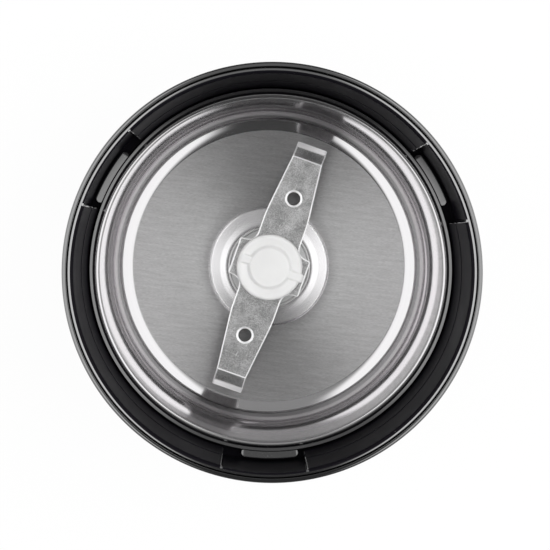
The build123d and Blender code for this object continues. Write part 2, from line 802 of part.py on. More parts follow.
# ---------------------------------------------------------------------------------------------
# Rotor
# ---------------------------------------------------------------------------------------------
with BuildPart() as rotor_shaft:
    with BuildSketch(Plane.XY.offset(fan_bottom)):
        Circle(shaft_radius)
    extrude(amount=drive_tip - 1 - fan_bottom)
    chamfer(rotor_shaft.edges().filter_by(GeomType.CIRCLE), length=0.4)
rotor_shaft.part.label = "rotor_shaft"
export_step(rotor_shaft.part, "parts/rotor_shaft.step")

with BuildPart() as cooling_fan:
    with BuildSketch(Plane.XY.offset(fan_bottom)):
        Circle(fan_radius)
    extrude(amount=fan_disc)
    with BuildSketch(Plane.XY.offset(fan_bottom)):
        Circle(fan_hub_radius)
        with PolarLocations((fan_radius + fan_hub_radius) / 2 - 0.5, fan_blades):
            Rectangle(fan_radius - fan_hub_radius, fan_blade_thickness, rotation=22)
    extrude(amount=fan_height)
    with BuildSketch(Plane.XY.offset(fan_bottom)):
        Circle(shaft_radius + seat_gap)
    extrude(amount=fan_height, mode=Mode.SUBTRACT)
cooling_fan.part.label = "cooling_fan"
export_step(cooling_fan.part, "parts/cooling_fan.step")

with BuildPart() as thrust_washers:
    with BuildSketch(Plane.XZ):
        inner = shaft_radius + seat_gap
        ring_face(inner, thrust_radius, lower_bearing_top, lower_bearing_top + thrust_thickness)
        high = upper_bearing_bottom - 0.1
        ring_face(inner, thrust_radius, high - thrust_thickness, high)
    revolve(axis=Axis.Z)
thrust_washers.part.label = "thrust_washers"
export_step(thrust_washers.part, "parts/thrust_washers.step")

with BuildPart() as commutator:
    with BuildSketch(Plane.XY.offset(commutator_bottom)):
        Circle(commutator_radius)
        Circle(shaft_radius + seat_gap, mode=Mode.SUBTRACT)
        with PolarLocations(commutator_radius, commutator_slits):
            Rectangle(2 * slit_depth, slit_width, mode=Mode.SUBTRACT)
    extrude(amount=commutator_length)
commutator.part.label = "commutator"
export_step(commutator.part, "parts/commutator.step")

with BuildPart() as armature_core:
    with BuildSketch(Plane.XY.offset(stack_bottom)):
        Circle(armature_radius)
        Circle(shaft_radius + seat_gap, mode=Mode.SUBTRACT)
        with PolarLocations(armature_radius, armature_slots):
            Rectangle(2 * armature_slot_depth, armature_slot_width, mode=Mode.SUBTRACT)
    extrude(amount=stack_length)
armature_core.part.label = "armature_core"
export_step(armature_core.part, "parts/armature_core.step")

with BuildPart() as armature_windings:
    with BuildSketch(Plane.XZ):
        ring_face(shaft_radius + 1, winding_radius, stack_bottom - winding_height, stack_bottom)
        ring_face(shaft_radius + 1, winding_radius, stack_top, windings_top)
    revolve(axis=Axis.Z)
    far_edges = armature_windings.edges().filter_by(GeomType.CIRCLE).group_by(Axis.Z)
    fillet(far_edges[0].sort_by(SortBy.RADIUS)[-1], radius=1.8)
    fillet(far_edges[-1].sort_by(SortBy.RADIUS)[-1], radius=1.8)
armature_windings.part.label = "armature_windings"
export_step(armature_windings.part, "parts/armature_windings.step")

with BuildPart() as drive_dog:
    with BuildSketch(Plane.XY.offset(drive_bottom)):
        Circle(dog_radius)
    extrude(amount=dog_disc)
    with BuildSketch(Plane.XY.offset(drive_bottom)):
        Circle(dog_hub_radius)
    extrude(amount=drive_tip - drive_bottom - 0.6)
    for turn in (0, 180):
        with BuildSketch(meridian(blade_angle + turn - dog_lug_sweep / 2)):
            ring_face(dog_lug_inner, dog_lug_outer, drive_disc_top - 0.5, drive_tip)
        revolve(axis=Axis.Z, revolution_arc=dog_lug_sweep)
    with BuildSketch(Plane.XY.offset(drive_bottom)):
        Circle(shaft_radius + seat_gap)
    extrude(amount=drive_tip - drive_bottom, mode=Mode.SUBTRACT)
drive_dog.part.label = "drive_dog"
export_step(drive_dog.part, "parts/drive_dog.step")

# ---------------------------------------------------------------------------------------------
# Bowl
# ---------------------------------------------------------------------------------------------
with BuildPart() as bowl_gasket:
    with BuildSketch(Plane.XZ):
        outer = throat_radius - moving_gap
        ring_face(outer - gasket_width, outer, shelf_level, collar_bottom)
    revolve(axis=Axis.Z)
bowl_gasket.part.label = "bowl_gasket"
export_step(bowl_gasket.part, "parts/bowl_gasket.step")

roll_end = collar_top - 0.9
with BuildPart() as grinding_bowl:
    with BuildSketch(Plane.XZ):
        with BuildLine():
            FilletPolyline(
                (bush_radius + seat_gap, boss_top),
                (boss_top_radius, boss_top),
                (boss_slope_radius, bowl_floor + boss_slope_height),
                (boss_edge_radius, bowl_floor + boss_edge_height),
                (boss_foot_radius, bowl_floor),
                (bowl_floor_radius, bowl_floor),
                (bowl_corner_radius, bowl_floor + bowl_corner_height),
                (bowl_step_radius, bowl_floor + bowl_step_height),
                (bowl_wall_radius, bowl_floor + bowl_wall_height),
                (bowl_mouth_radius, bowl_rim),
                (bowl_rim_radius, bowl_rim),
                (bowl_rim_radius, roll_end),
                radius=bowl_roll,
            )
            offset(amount=bowl_sheet, side=Side.RIGHT)
        make_face()
    revolve(axis=Axis.Z)
grinding_bowl.part.label = "grinding_bowl"
export_step(grinding_bowl.part, "parts/grinding_bowl.step")

with BuildPart() as bowl_collar:
    collar_inner = bowl_mouth_radius + bowl_sheet + assembly_gap
    with BuildSketch(Plane.XZ):
        outline(
            (bowl_rim_radius + seat_gap, collar_top),
            (collar_radius, collar_top),
            (collar_radius, collar_bottom),
            (collar_inner, collar_bottom),
            (collar_inner, roll_end),
            (bowl_rim_radius + seat_gap, roll_end),
        )
    revolve(axis=Axis.Z)
    for step in range(lug_count):
        with BuildSketch(meridian(lug_angle - lug_sweep / 2 + step * 360 / lug_count)):
            ring_face(collar_radius - 0.5, lug_radius, lug_bottom, lug_top)
        revolve(axis=Axis.Z, revolution_arc=lug_sweep)
    upright_edges = bowl_collar.edges().filter_by(Axis.Z)
    fillet(upright_edges.group_by(axis_distance)[-1], radius=0.8)
bowl_collar.part.label = "bowl_collar"
export_step(bowl_collar.part, "parts/bowl_collar.step")

with BuildPart() as bowl_base:
    base_low = floor_level + bowl_base_floor_gap
    under = bowl_floor - bowl_sheet
    hole = bush_radius + seat_gap
    recess = bowl_rib_radius - 2
    with BuildSketch(Plane.XZ):
        outline(
            (hole, web_under),
            (hole, under),
            (bowl_base_radius, under),
            (bowl_base_radius, base_low),
            (bowl_base_radius - bowl_base_wall, base_low),
            (bowl_base_radius - bowl_base_wall, web_under),
            (bowl_rib_radius, web_under),
            (bowl_rib_radius, driven_under - 1),
            (recess, driven_under - 1),
            (recess, web_under),
        )
    revolve(axis=Axis.Z)
    with BuildSketch(Plane.XY.offset(web_under - 4)):
        with PolarLocations((recess + bowl_base_radius) / 2, 6):
            Rectangle(bowl_base_radius - bowl_base_wall - bowl_rib_radius + 2, 1.6)
    extrude(amount=4.5)
bowl_base.part.label = "bowl_base"
export_step(bowl_base.part, "parts/bowl_base.step")

with BuildPart() as bowl_cradle:
    with BuildSketch(Plane.XZ):
        ring_face(bowl_base_radius - bowl_base_wall, bowl_base_radius, under, under + bowl_base_lip)
    revolve(axis=Axis.Z)
bowl_cradle.part.label = "bowl_cradle"
export_step(bowl_cradle.part, "parts/bowl_cradle.step")

with BuildPart() as boss_core:
    with BuildSketch(Plane.XZ):
        ring_face(hole, bowl_hub_radius, under, boss_top - bowl_sheet)
    revolve(axis=Axis.Z)
boss_core.part.label = "boss_core"
export_step(boss_core.part, "parts/boss_core.step")

with BuildPart() as bowl_bush:
    with BuildSketch(Plane.XZ):
        outline(
            (shaft_radius + running_gap, bush_bottom),
            (bush_radius, bush_bottom),
            (bush_radius, boss_top),
            (bush_flange_radius, boss_top),
            (bush_flange_radius, bush_top),
            (seal_radius + seat_gap, bush_top),
            (seal_radius + seat_gap, bush_top - seal_height),
            (shaft_radius + running_gap, bush_top - seal_height),
        )
    revolve(axis=Axis.Z)
bowl_bush.part.label = "bowl_bush"
export_step(bowl_bush.part, "parts/bowl_bush.step")

with BuildPart() as shaft_seal:
    with BuildSketch(Plane.XZ):
        ring_face(shaft_radius + running_gap, seal_radius, bush_top - seal_height, bush_top)
    revolve(axis=Axis.Z)
shaft_seal.part.label = "shaft_seal"
export_step(shaft_seal.part, "parts/shaft_seal.step")

with BuildPart() as bush_nut:
    with BuildSketch(Plane.XY.offset(web_under - nut_height)):
        RegularPolygon(nut_size / 2, 6, major_radius=False)
        Circle(bush_radius + seat_gap, mode=Mode.SUBTRACT)
    extrude(amount=nut_height)
bush_nut.part.label = "bush_nut"
export_step(bush_nut.part, "parts/bush_nut.step")

# ---------------------------------------------------------------------------------------------
# Blade, its shaft and the driven half of the coupling
# ---------------------------------------------------------------------------------------------
with BuildPart() as blade_shaft:
    with BuildSketch(Plane.XZ):
        outline(
            (0, driven_under + 0.2),
            (shaft_radius, driven_under + 0.2),
            (shaft_radius, clip_bottom),
            (shaft_radius - clip_groove, clip_bottom),
            (shaft_radius - clip_groove, clip_bottom + clip_thickness),
            (shaft_radius, clip_bottom + clip_thickness),
            (shaft_radius, cap_top - cap_shell),
            (0, cap_top - cap_shell),
        )
    revolve(axis=Axis.Z)
blade_shaft.part.label = "blade_shaft"
export_step(blade_shaft.part, "parts/blade_shaft.step")

with BuildPart() as blade_washer:
    with BuildSketch(Plane.XZ):
        ring_face(shaft_radius + seat_gap, washer_radius, washer_bottom, blade_bottom)
    revolve(axis=Axis.Z)
blade_washer.part.label = "blade_washer"
export_step(blade_washer.part, "parts/blade_washer.step")

with BuildPart() as blade:
    with BuildSketch(Plane.XY.offset(blade_bottom).rotated((0, 0, blade_angle))):
        outline(
            (blade_waist, blade_root_width / 2),
            (blade_bend, blade_tip_width / 2),
            (blade_bend, -blade_tip_width / 2),
            (blade_waist, -blade_root_width / 2),
            (-blade_waist, -blade_root_width / 2),
            (-blade_bend, -blade_tip_width / 2),
            (-blade_bend, blade_tip_width / 2),
            (-blade_waist, blade_root_width / 2),
        )
        Rectangle(blade_ear_width, 2 * blade_ear_reach)
    extrude(amount=blade_thickness)
    upright_edges = blade.edges().filter_by(Axis.Z)
    fillet(upright_edges.group_by(axis_distance)[0], radius=blade_notch)
    with BuildSketch(meridian(blade_angle)):
        for side in (-1, 1):
            outline(
                (side * (blade_bend - 0.8), blade_bottom),
                (side * blade_bend, blade_bottom),
                (side * blade_reach, blade_bottom + blade_lip_height),
                (side * (blade_reach - 1.5), blade_bottom + blade_lip_height + 0.5),
                (side * (blade_bend - 0.8), blade_top),
            )
    extrude(amount=blade_tip_width / 2 - 0.1, both=True)
    with BuildSketch(Plane.XY.offset(blade_bottom).rotated((0, 0, blade_angle))):
        Circle(shaft_radius + seat_gap)
        with GridLocations(2 * blade_hole_reach, 0, 2, 1):
            Circle(blade_hole)
    extrude(amount=blade_thickness, mode=Mode.SUBTRACT)
blade.part.label = "blade"
export_step(blade.part, "parts/blade.step")

with BuildPart() as hub_cap:
    with BuildSketch(Plane.XY.offset(blade_top)):
        Circle(cap_radius)
    extrude(amount=cap_height)
    fillet(hub_cap.edges().filter_by(GeomType.CIRCLE).group_by(Axis.Z)[-1], radius=cap_round)
    with BuildSketch(Plane.XY.offset(cap_top - 0.2)):
        Circle(cap_disc_radius)
    extrude(amount=cap_disc_height + 0.2)
    with BuildSketch(Plane.XY.offset(blade_top + 0.4).rotated((0, 0, blade_angle - 90))):
        with Locations(((cap_disc_radius + cap_rib_reach) / 2, 0)):
            Rectangle(cap_rib_reach - cap_disc_radius, cap_rib_width)
        with Locations((-(cap_disc_radius + cap_radius) / 2 + 0.4, 0)):
            Rectangle(cap_radius - cap_disc_radius, cap_rib_width)
    extrude(amount=cap_height - 0.4)
    with BuildSketch(Plane.XY.offset(blade_top)):
        Circle(shaft_radius + seat_gap)
    extrude(amount=cap_height - cap_shell + 0.05, mode=Mode.SUBTRACT)
hub_cap.part.label = "hub_cap"
export_step(hub_cap.part, "parts/hub_cap.step")

with BuildPart() as shaft_clip:
    with BuildSketch(Plane.XY.offset(clip_bottom).rotated((0, 0, blade_angle))):
        Circle(clip_radius)
        Circle(shaft_radius - clip_groove + seat_gap, mode=Mode.SUBTRACT)
        with Locations((clip_radius / 2 + 1, 0)):
            Rectangle(clip_radius, 2 * (shaft_radius - clip_groove) - 0.8, mode=Mode.SUBTRACT)
    extrude(amount=clip_thickness)
shaft_clip.part.label = "shaft_clip"
export_step(shaft_clip.part, "parts/shaft_clip.step")

with BuildPart() as driven_dog:
    with BuildSketch(Plane.XY.offset(driven_under)):
        Circle(dog_radius)
    extrude(amount=dog_disc)
    for turn in (90, 270):
        with BuildSketch(meridian(blade_angle + turn - dog_lug_sweep / 2)):
            low = drive_disc_top + dog_end_gap
            ring_face(dog_lug_inner, dog_lug_outer, low, driven_under + 0.5)
        revolve(axis=Axis.Z, revolution_arc=dog_lug_sweep)
    with BuildSketch(Plane.XY.offset(driven_under)):
        Circle(shaft_radius + seat_gap)
    extrude(amount=dog_disc, mode=Mode.SUBTRACT)
driven_dog.part.label = "driven_dog"
export_step(driven_dog.part, "parts/driven_dog.step")

# ---------------------------------------------------------------------------------------------
# Push button, switch and filter
# ---------------------------------------------------------------------------------------------
with BuildPart() as push_button:
    with BuildSketch(facing(flange_front, button_height)):
        RectangleRounded(button_width, button_tall, button_corner)
    extrude(amount=face_reach + 5 - flange_front)
    with BuildSketch(Plane.XY.offset(button_height - button_tall)):
        Circle(face_reach)
    extrude(amount=2 * button_tall, mode=Mode.INTERSECT)
    fillet(push_button.faces().sort_by(Axis.Y)[0].edges(), radius=button_round)
    with BuildSketch(facing(flange_back, button_height)):
        RectangleRounded(
            button_width + 2 * button_flange_grow,
            button_tall + 2 * button_flange_grow,
            button_corner + button_flange_grow,
        )
    extrude(amount=button_flange)
    with BuildSketch(facing(flange_back, button_height)):
        with Locations((spring_side, 0)):
            Circle(spring_stub)
    extrude(amount=-stub_length)
    with BuildSketch(facing(flange_back, button_height)):
        with Locations((switch_side, 0)):
            Circle(plunger_radius + 0.4)
    plunger_tip = card_front + switch_depth + button_travel + switch_clearance
    extrude(amount=-(flange_back - plunger_tip))
push_button.part.label = "push_button"
export_step(push_button.part, "parts/push_button.step")

with BuildPart() as switch_plunger:
    with BuildSketch(facing(plunger_tip, button_height)):
        with Locations((switch_side, 0)):
            Circle(plunger_radius)
    extrude(amount=-plunger_length)
switch_plunger.part.label = "switch_plunger"
export_step(switch_plunger.part, "parts/switch_plunger.step")

with BuildPart() as button_bezel:
    bezel_face = casing_radius(button_height) + bezel_proud
    with BuildSketch(facing(bezel_back, button_height)):
        RectangleRounded(bezel_width, bezel_tall, button_corner + bezel_wall)
    extrude(amount=bezel_face + 5 - flange_front)
    with BuildSketch(Plane.XY.offset(button_height - bezel_tall)):
        Circle(bezel_face)
    extrude(amount=2 * bezel_tall, mode=Mode.INTERSECT)
    with BuildSketch(facing(bezel_back, button_height)):
        RectangleRounded(
            bezel_width + 2 * bezel_flange,
            bezel_tall + 2 * bezel_flange,
            button_corner + bezel_wall + bezel_flange,
        )
    extrude(amount=bezel_flange_thickness)
    with BuildSketch(facing(flange_front, button_height)):
        RectangleRounded(
            button_width + 2 * moving_gap,
            button_tall + 2 * moving_gap,
            button_corner + moving_gap,
        )
    extrude(amount=bezel_face, mode=Mode.SUBTRACT)
button_bezel.part.label = "button_bezel"
export_step(button_bezel.part, "parts/button_bezel.step")

with BuildPart() as button_spring:
    spring_length = flange_back - card_front - 2 * spring_wire
    spring_plane = Plane(origin=(spring_side, -card_front - spring_wire, button_height), z_dir=(0, -1, 0))
    spring_line = Helix(
        pitch=spring_length / spring_turns,
        height=spring_length,
        radius=spring_radius,
        center=spring_plane.origin,
        direction=spring_plane.z_dir,
        mode=Mode.PRIVATE,
    )
    with BuildSketch(Plane(origin=spring_line @ 0, z_dir=spring_line % 0)):
        Circle(spring_wire)
    sweep(path=spring_line, is_frenet=True)
button_spring.part.label = "button_spring"
export_step(button_spring.part, "parts/button_spring.step")

with BuildPart() as switch_card:
    with BuildSketch(facing(card_front - card_thickness, card_low)):
        with Locations((0, (card_high - card_low) / 2)):
            Rectangle(2 * (card_half - seat_gap), card_high - card_low)
    extrude(amount=card_thickness)
switch_card.part.label = "switch_card"
export_step(switch_card.part, "parts/switch_card.step")

with BuildPart() as microswitch:
    with BuildSketch(facing(card_front, button_height)):
        with Locations((switch_side, 0)):
            Rectangle(switch_width, switch_tall)
    extrude(amount=switch_depth)
    with BuildSketch(facing(card_front + switch_depth / 2, button_height)):
        with Locations((switch_side, -switch_tall / 2 - switch_tab / 2)):
            with GridLocations(4.5, 0, 3, 1):
                Rectangle(1.6, switch_tab)
    extrude(amount=0.6)
    with BuildSketch(facing(card_front + switch_depth, button_height)):
        with Locations((switch_side, 0)):
            Circle(plunger_radius + running_gap)
    extrude(amount=-plunger_bore, mode=Mode.SUBTRACT)
microswitch.part.label = "microswitch"
export_step(microswitch.part, "parts/microswitch.step")

with BuildPart() as filter_card:
    with BuildSketch(facing(-card_front, card_low)):
        with Locations((0, (card_high - card_low) / 2)):
            Rectangle(2 * (card_half - seat_gap), card_high - card_low)
    extrude(amount=card_thickness)
filter_card.part.label = "filter_card"
export_step(filter_card.part, "parts/filter_card.step")

with BuildPart() as suppressor_capacitor:
    with BuildSketch(facing(-card_front, button_height)):
        with Locations((capacitor_side, 0)):
            RectangleRounded(capacitor_width, capacitor_tall, 1)
    extrude(amount=-capacitor_depth)
suppressor_capacitor.part.label = "suppressor_capacitor"
export_step(suppressor_capacitor.part, "parts/suppressor_capacitor.step")

with BuildPart() as choke_coils:
    with BuildSketch(Plane.XY.offset(button_height - choke_length / 2)):
        with Locations((choke_side, card_front + choke_radius + seat_gap)):
            with GridLocations(choke_pitch, 0, 2, 1):
                Circle(choke_radius)
    extrude(amount=choke_length)
choke_coils.part.label = "choke_coils"
export_step(choke_coils.part, "parts/choke_coils.step")

with BuildPart() as terminal_block:
    with BuildSketch(Plane.XY.offset(base_floor)):
        with Locations((0, terminal_reach)):
            Rectangle(terminal_size, terminal_depth)
    extrude(amount=terminal_tall)
    with BuildSketch(Plane.XY.offset(base_floor + terminal_tall)):
        with Locations((0, terminal_reach)):
            with GridLocations(terminal_size / 2, 0, 2, 1):
                Circle(terminal_hole)
    extrude(amount=-terminal_tall / 2, mode=Mode.SUBTRACT)
terminal_block.part.label = "terminal_block"
export_step(terminal_block.part, "parts/terminal_block.step")

with BuildPart() as lead_wires:
    wire_low = brush_level + 1.0
    brush_back = commutator_radius + brush_end_gap + 1 + sleeve_length
    wire_routes = []
    for side in (-1, 1):
        across = side * terminal_size / 4
        wire_routes.append(
            [
                (across, terminal_reach, base_floor + terminal_tall / 2),
                (across, terminal_reach, card_low + 2),
                (across, card_front, card_low + 2),
            ]
        )
        wire_routes.append(
            [
                (side * wire_side, pillar_reach, card_low),
                (side * wire_side, pillar_reach, wire_low),
                (side * wire_side, -pillar_reach, wire_low),
                (side * wire_side, -pillar_reach, card_low),
            ]
        )
        wire_routes.append(
            [
                (0, side * pillar_reach, card_low),
                (0, side * pillar_reach, brush_level),
                (0, side * brush_back, brush_level),
            ]
        )
    for route in wire_routes:
        with BuildLine() as wire_line:
            FilletPolyline(*route, radius=wire_bend)
        with BuildSketch(Plane(origin=wire_line.line @ 0, z_dir=wire_line.line % 0)):
            Circle(wire_radius)
        sweep()
lead_wires.part.label = "lead_wires"
export_step(lead_wires.part, "parts/lead_wires.step")
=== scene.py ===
"""The dressed electric spice grinder: finishes, turned and pressed surfaces, floor, lamps and camera."""

from __future__ import annotations

import logging
import math
from collections.abc import Callable, Mapping, Sequence
from dataclasses import dataclass
from enum import Enum

import bmesh
import bpy
import numpy as np
from mathutils import Matrix, Vector


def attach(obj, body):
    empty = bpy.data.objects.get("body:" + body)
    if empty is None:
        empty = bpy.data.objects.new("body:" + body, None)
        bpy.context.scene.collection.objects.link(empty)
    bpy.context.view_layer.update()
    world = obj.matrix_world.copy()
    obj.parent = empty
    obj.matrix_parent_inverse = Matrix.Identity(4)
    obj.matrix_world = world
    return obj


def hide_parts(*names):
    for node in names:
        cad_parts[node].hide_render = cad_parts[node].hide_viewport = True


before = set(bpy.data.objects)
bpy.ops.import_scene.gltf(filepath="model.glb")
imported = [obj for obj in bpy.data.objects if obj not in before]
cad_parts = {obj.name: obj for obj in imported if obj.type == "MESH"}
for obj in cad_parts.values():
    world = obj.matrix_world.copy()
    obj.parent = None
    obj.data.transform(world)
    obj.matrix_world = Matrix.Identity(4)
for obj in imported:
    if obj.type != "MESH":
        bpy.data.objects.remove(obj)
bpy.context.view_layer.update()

MM = 0.001
TURN = 2 * math.pi
TINY = 1e-9  # keeps a divisor away from nought
SAME = 1e-6  # points of a line this close together, in millimetres, are one
SEAM = 2e-6  # corners of a mesh this close together, in metres, are joined
SLIVER = 1e-7  # edges of a mesh this short, in metres, are taken out
log = logging.getLogger("spice_grinder")

Material = bpy.types.Material
Piece = bpy.types.Object
Pair = tuple[float, float]
Triple = tuple[float, float, float]
Four = tuple[float, float, float, float]
Corners = tuple[Triple, ...]
Colour = Triple


# ---------------------------------------------------------------------------------------------
# Shader trees
# ---------------------------------------------------------------------------------------------
def operator(operation: str, swapped: bool = False) -> Callable[[Signal, Signal | float], Signal]:
    """Makes a method of Signal that adds a Math node on the signal and another value.

    Args:
        operation: what the Math node does.
        swapped: puts the other value first.

    Returns:
        The method.
    """

    def joined(signal: Signal, other: Signal | float) -> Signal:
        """The node's result."""
        return signal.tree.math(operation, *((other, signal) if swapped else (signal, other)))

    return joined


class Signal:
    """A number that varies over a surface: an output socket that can be used in expressions."""

    __add__ = __radd__ = operator("ADD")
    __sub__, __rsub__ = operator("SUBTRACT"), operator("SUBTRACT", swapped=True)
    __mul__ = __rmul__ = operator("MULTIPLY")
    __truediv__ = operator("DIVIDE")
    __pow__ = operator("POWER")

    def __init__(self, tree: ShaderTree, socket: bpy.types.NodeSocket) -> None:
        """Wraps one output socket of a tree."""
        self.tree = tree
        self.socket = socket

    def __abs__(self) -> Signal:
        """Distance from nought."""
        return self.tree.math("ABSOLUTE", self)


Value = Signal | float | Sequence[float]
Settings = Mapping[str, object] | None
Sockets = Mapping[str | int, Value] | None


class ShaderTree:
    """The node tree of one material or world."""

    def __init__(self, owner: Material | bpy.types.World) -> None:
        """Empties the owner's tree."""
        owner.use_nodes = True
        self.owner = owner
        self.nodes = owner.node_tree.nodes
        self.links = owner.node_tree.links
        self.nodes.clear()

    def add(self, kind: str, settings: Settings = None, sockets: Sockets = None) -> bpy.types.Node:
        """Adds a node.

        Args:
            kind: the node's type.
            settings: its own settings, set first.
            sockets: values or links of its inputs, by name or number.

        Returns:
            The node.
        """
        node = self.nodes.new(kind)
        for key, value in (settings or {}).items():
            setattr(node, key, value)
        for key, value in (sockets or {}).items():
            if isinstance(value, Signal):
                self.links.new(value.socket, node.inputs[key])
            else:
                node.inputs[key].default_value = value
        return node

    def signal(
        self, kind: str, settings: Settings = None, sockets: Sockets = None, output: str | int = 0
    ) -> Signal:
        """Adds a node, as add does, and returns the output of that name or number."""
        return Signal(self, self.add(kind, settings, sockets).outputs[output])

    def math(self, operation: str, *values: Signal | float) -> Signal:
        """Adds a Math node on numbers or signals."""
        return self.signal("ShaderNodeMath", {"operation": operation}, dict(enumerate(values)))

    def vector(self, operation: str, *values: Value) -> Signal:
        """Adds a Vector Math node."""
        return self.signal("ShaderNodeVectorMath", {"operation": operation}, dict(enumerate(values)))

    def place(self) -> Signal:
        """The point on the surface, in the object's own coordinates."""
        return self.signal("ShaderNodeTexCoord", output="Object")

    def stretched(self, place: Signal, scale: Sequence[float], turn: Sequence[float] = (0, 0, 0)) -> Signal:
        """The place turned by Euler angles in radians and then scaled along each axis."""
        turned = self.signal("ShaderNodeMapping", None, {"Vector": place, "Rotation": turn})
        return self.vector("MULTIPLY", turned, scale)

    def split(self, place: Signal) -> tuple[Signal, Signal, Signal]:
        """The three parts of a vector."""
        node = self.add("ShaderNodeSeparateXYZ", None, {0: place})
        return tuple(Signal(self, node.outputs[i]) for i in range(3))

    def flat_length(self, x: Signal, y: Signal, least: float = 0.0) -> Signal:
        """sqrt(x^2 + y^2 + least)."""
        return self.math("SQRT", x * x + y * y + least if least else x * x + y * y)

    def noise(self, place: Signal, scale: float, detail: float = 3.0, rough: float = 0.55) -> Signal:
        """Smooth random values from 0 to 1."""
        sockets = {"Vector": place, "Scale": scale, "Detail": detail, "Roughness": rough}
        return self.signal("ShaderNodeTexNoise", None, sockets)

    def cells(self, place: Signal, scale: float, feature: str = "F1") -> Signal:
        """Distance to the nearest of many scattered points."""
        return self.signal("ShaderNodeTexVoronoi", {"feature": feature}, {"Vector": place, "Scale": scale})

    def ramp(self, value: Signal, low: float, high: float) -> Signal:
        """Smooth step: 0 below low, 1 above high, and a soft S between them.

        Args:
            value: the signal.
            low: where the step begins.
            high: where it is full.

        Returns:
            The step.
        """
        settings = {"interpolation_type": "SMOOTHSTEP"}
        sockets = {"Value": value, "From Min": low, "From Max": high}
        return self.signal("ShaderNodeMapRange", settings, sockets)

    def mix(self, factor: Value, first: Value, second: Value) -> Signal:
        """Colour between two colours, each a link or three numbers."""
        pair = [value if isinstance(value, Signal) else (*value, 1.0) for value in (first, second)]
        return self.signal("ShaderNodeMix", {"data_type": "RGBA"}, {0: factor, 6: pair[0], 7: pair[1]}, 2)

    def bump(self, height: Signal, distance: float) -> Signal:
        """Normal tilted by a height, which is multiplied by a distance in millimetres."""
        sockets = {"Height": height, "Distance": distance * MM, "Strength": 1.0}
        return self.signal("ShaderNodeBump", None, sockets)

    def light_path(self, *kinds: str) -> list[Signal]:
        """One signal for each kind of ray, such as "Is Camera Ray"."""
        node = self.add("ShaderNodeLightPath")
        return [Signal(self, node.outputs[kind]) for kind in kinds]

    def close(self, surface: bpy.types.Node) -> Material | bpy.types.World:
        """Links the surface to the output and returns the owner.

        Args:
            surface: the node whose output the owner shows.

        Returns:
            The owner.
        """
        sky = isinstance(self.owner, bpy.types.World)
        output = self.add("ShaderNodeOutputWorld" if sky else "ShaderNodeOutputMaterial")
        self.links.new(surface.outputs[0], output.inputs["Surface"])
        return self.owner

    def principled(self, sockets: Mapping[str, Value]) -> Material:
        """Ends the tree in a Principled surface with these constants and links."""
        return self.close(self.add("ShaderNodeBsdfPrincipled", None, sockets))


# ---------------------------------------------------------------------------------------------
# Finishes
# ---------------------------------------------------------------------------------------------
@dataclass(frozen=True)
class Finish:
    """A finish of the grinder, made into a material once and then shared."""

    name: str
    colour: Colour
    roughness: float

    def material(self) -> Material:
        """The finish's material."""
        found = bpy.data.materials.get(self.name)
        return found or self.make(ShaderTree(bpy.data.materials.new(self.name)))

    def shade(self, factor: float = 1.0, extra: float = 0.0) -> Colour:
        """The colour times a factor plus an extra, at most 1."""
        return tuple(min(1.0, factor * c + extra) for c in self.colour)

    def make(self, tree: ShaderTree) -> Material:
        """Builds the material in an empty tree.

        Args:
            tree: the material's empty tree.

        Returns:
            The material.
        """
        raise NotImplementedError


@dataclass(frozen=True)
class Moulding(Finish):
    """Moulded plastic: even colour, soft flow marks, a fine grain and some specks of dust.

    The coat covers only what is above the coat level, where one is given. The glow is light under the skin.
    """

    grain: float = 0.0
    uneven: float = 0.25
    dust: float = 0.0
    ior: float = 1.5
    coat: float = 0.0
    coat_ior: float = 1.5
    coat_level: float = 0.0
    coat_fade: float = 0.4
    glow: float = 0.0

    def make(self, tree: ShaderTree) -> Material:
        """Cloudy roughness, a spark-eroded grain as bump, and dust as small pale cells.

        Args:
            tree: the material's empty tree.

        Returns:
            The material.
        """
        place = tree.place()
        cloud = tree.noise(place, 60.0, 4.0)
        speck = 1 - tree.ramp(tree.cells(place, 700.0), 0.05, 0.11)
        speck = speck * tree.ramp(tree.noise(place, 180.0, 2.0), 0.56, 0.62) * self.dust
        plain = tree.mix(tree.ramp(cloud, 0.3, 0.7) * 0.35, self.colour, self.shade(0.8))
        sockets = {
            "Base Color": tree.mix(speck, plain, self.shade(extra=0.25)),
            "Roughness": self.roughness * (1 - self.uneven / 2 + cloud * self.uneven) + speck * 0.4,
            "IOR": self.ior,
            "Coat Weight": self.coat,
            "Coat Roughness": 0.06,
            "Coat IOR": self.coat_ior,
        }
        if self.grain:
            sockets["Normal"] = tree.bump(tree.noise(place, 2200.0, 2.0, 0.6), self.grain)
        if self.coat_level:
            low, high = (self.coat_level - self.coat_fade) * MM, self.coat_level * MM
            sockets["Coat Weight"] = tree.ramp(tree.split(place)[2], low, high) * self.coat
        if self.glow:
            sockets["Subsurface Weight"] = self.glow
            sockets["Subsurface Radius"] = (0.004, 0.004, 0.0038)
            sockets["Subsurface Scale"] = 0.5
        return tree.principled(sockets)


@dataclass(frozen=True)
class Rubber(Finish):
    """Moulded rubber: dull, with a bloom that pales it in patches."""

    def make(self, tree: ShaderTree) -> Material:
        """Colour between the fresh and the bloomed shade by a coarse noise; fine noise as bump.

        Args:
            tree: the material's empty tree.

        Returns:
            The material.
        """
        place = tree.place()
        bloom = tree.ramp(tree.noise(place, 120.0, 5.0), 0.4, 0.75)
        return tree.principled({
            "Base Color": tree.mix(bloom, self.colour, self.shade(extra=0.025)),
            "Roughness": self.roughness + bloom * 0.1,
            "Normal": tree.bump(tree.noise(place, 3000.0, 2.0), 0.03),
            "IOR": 1.45,
        })


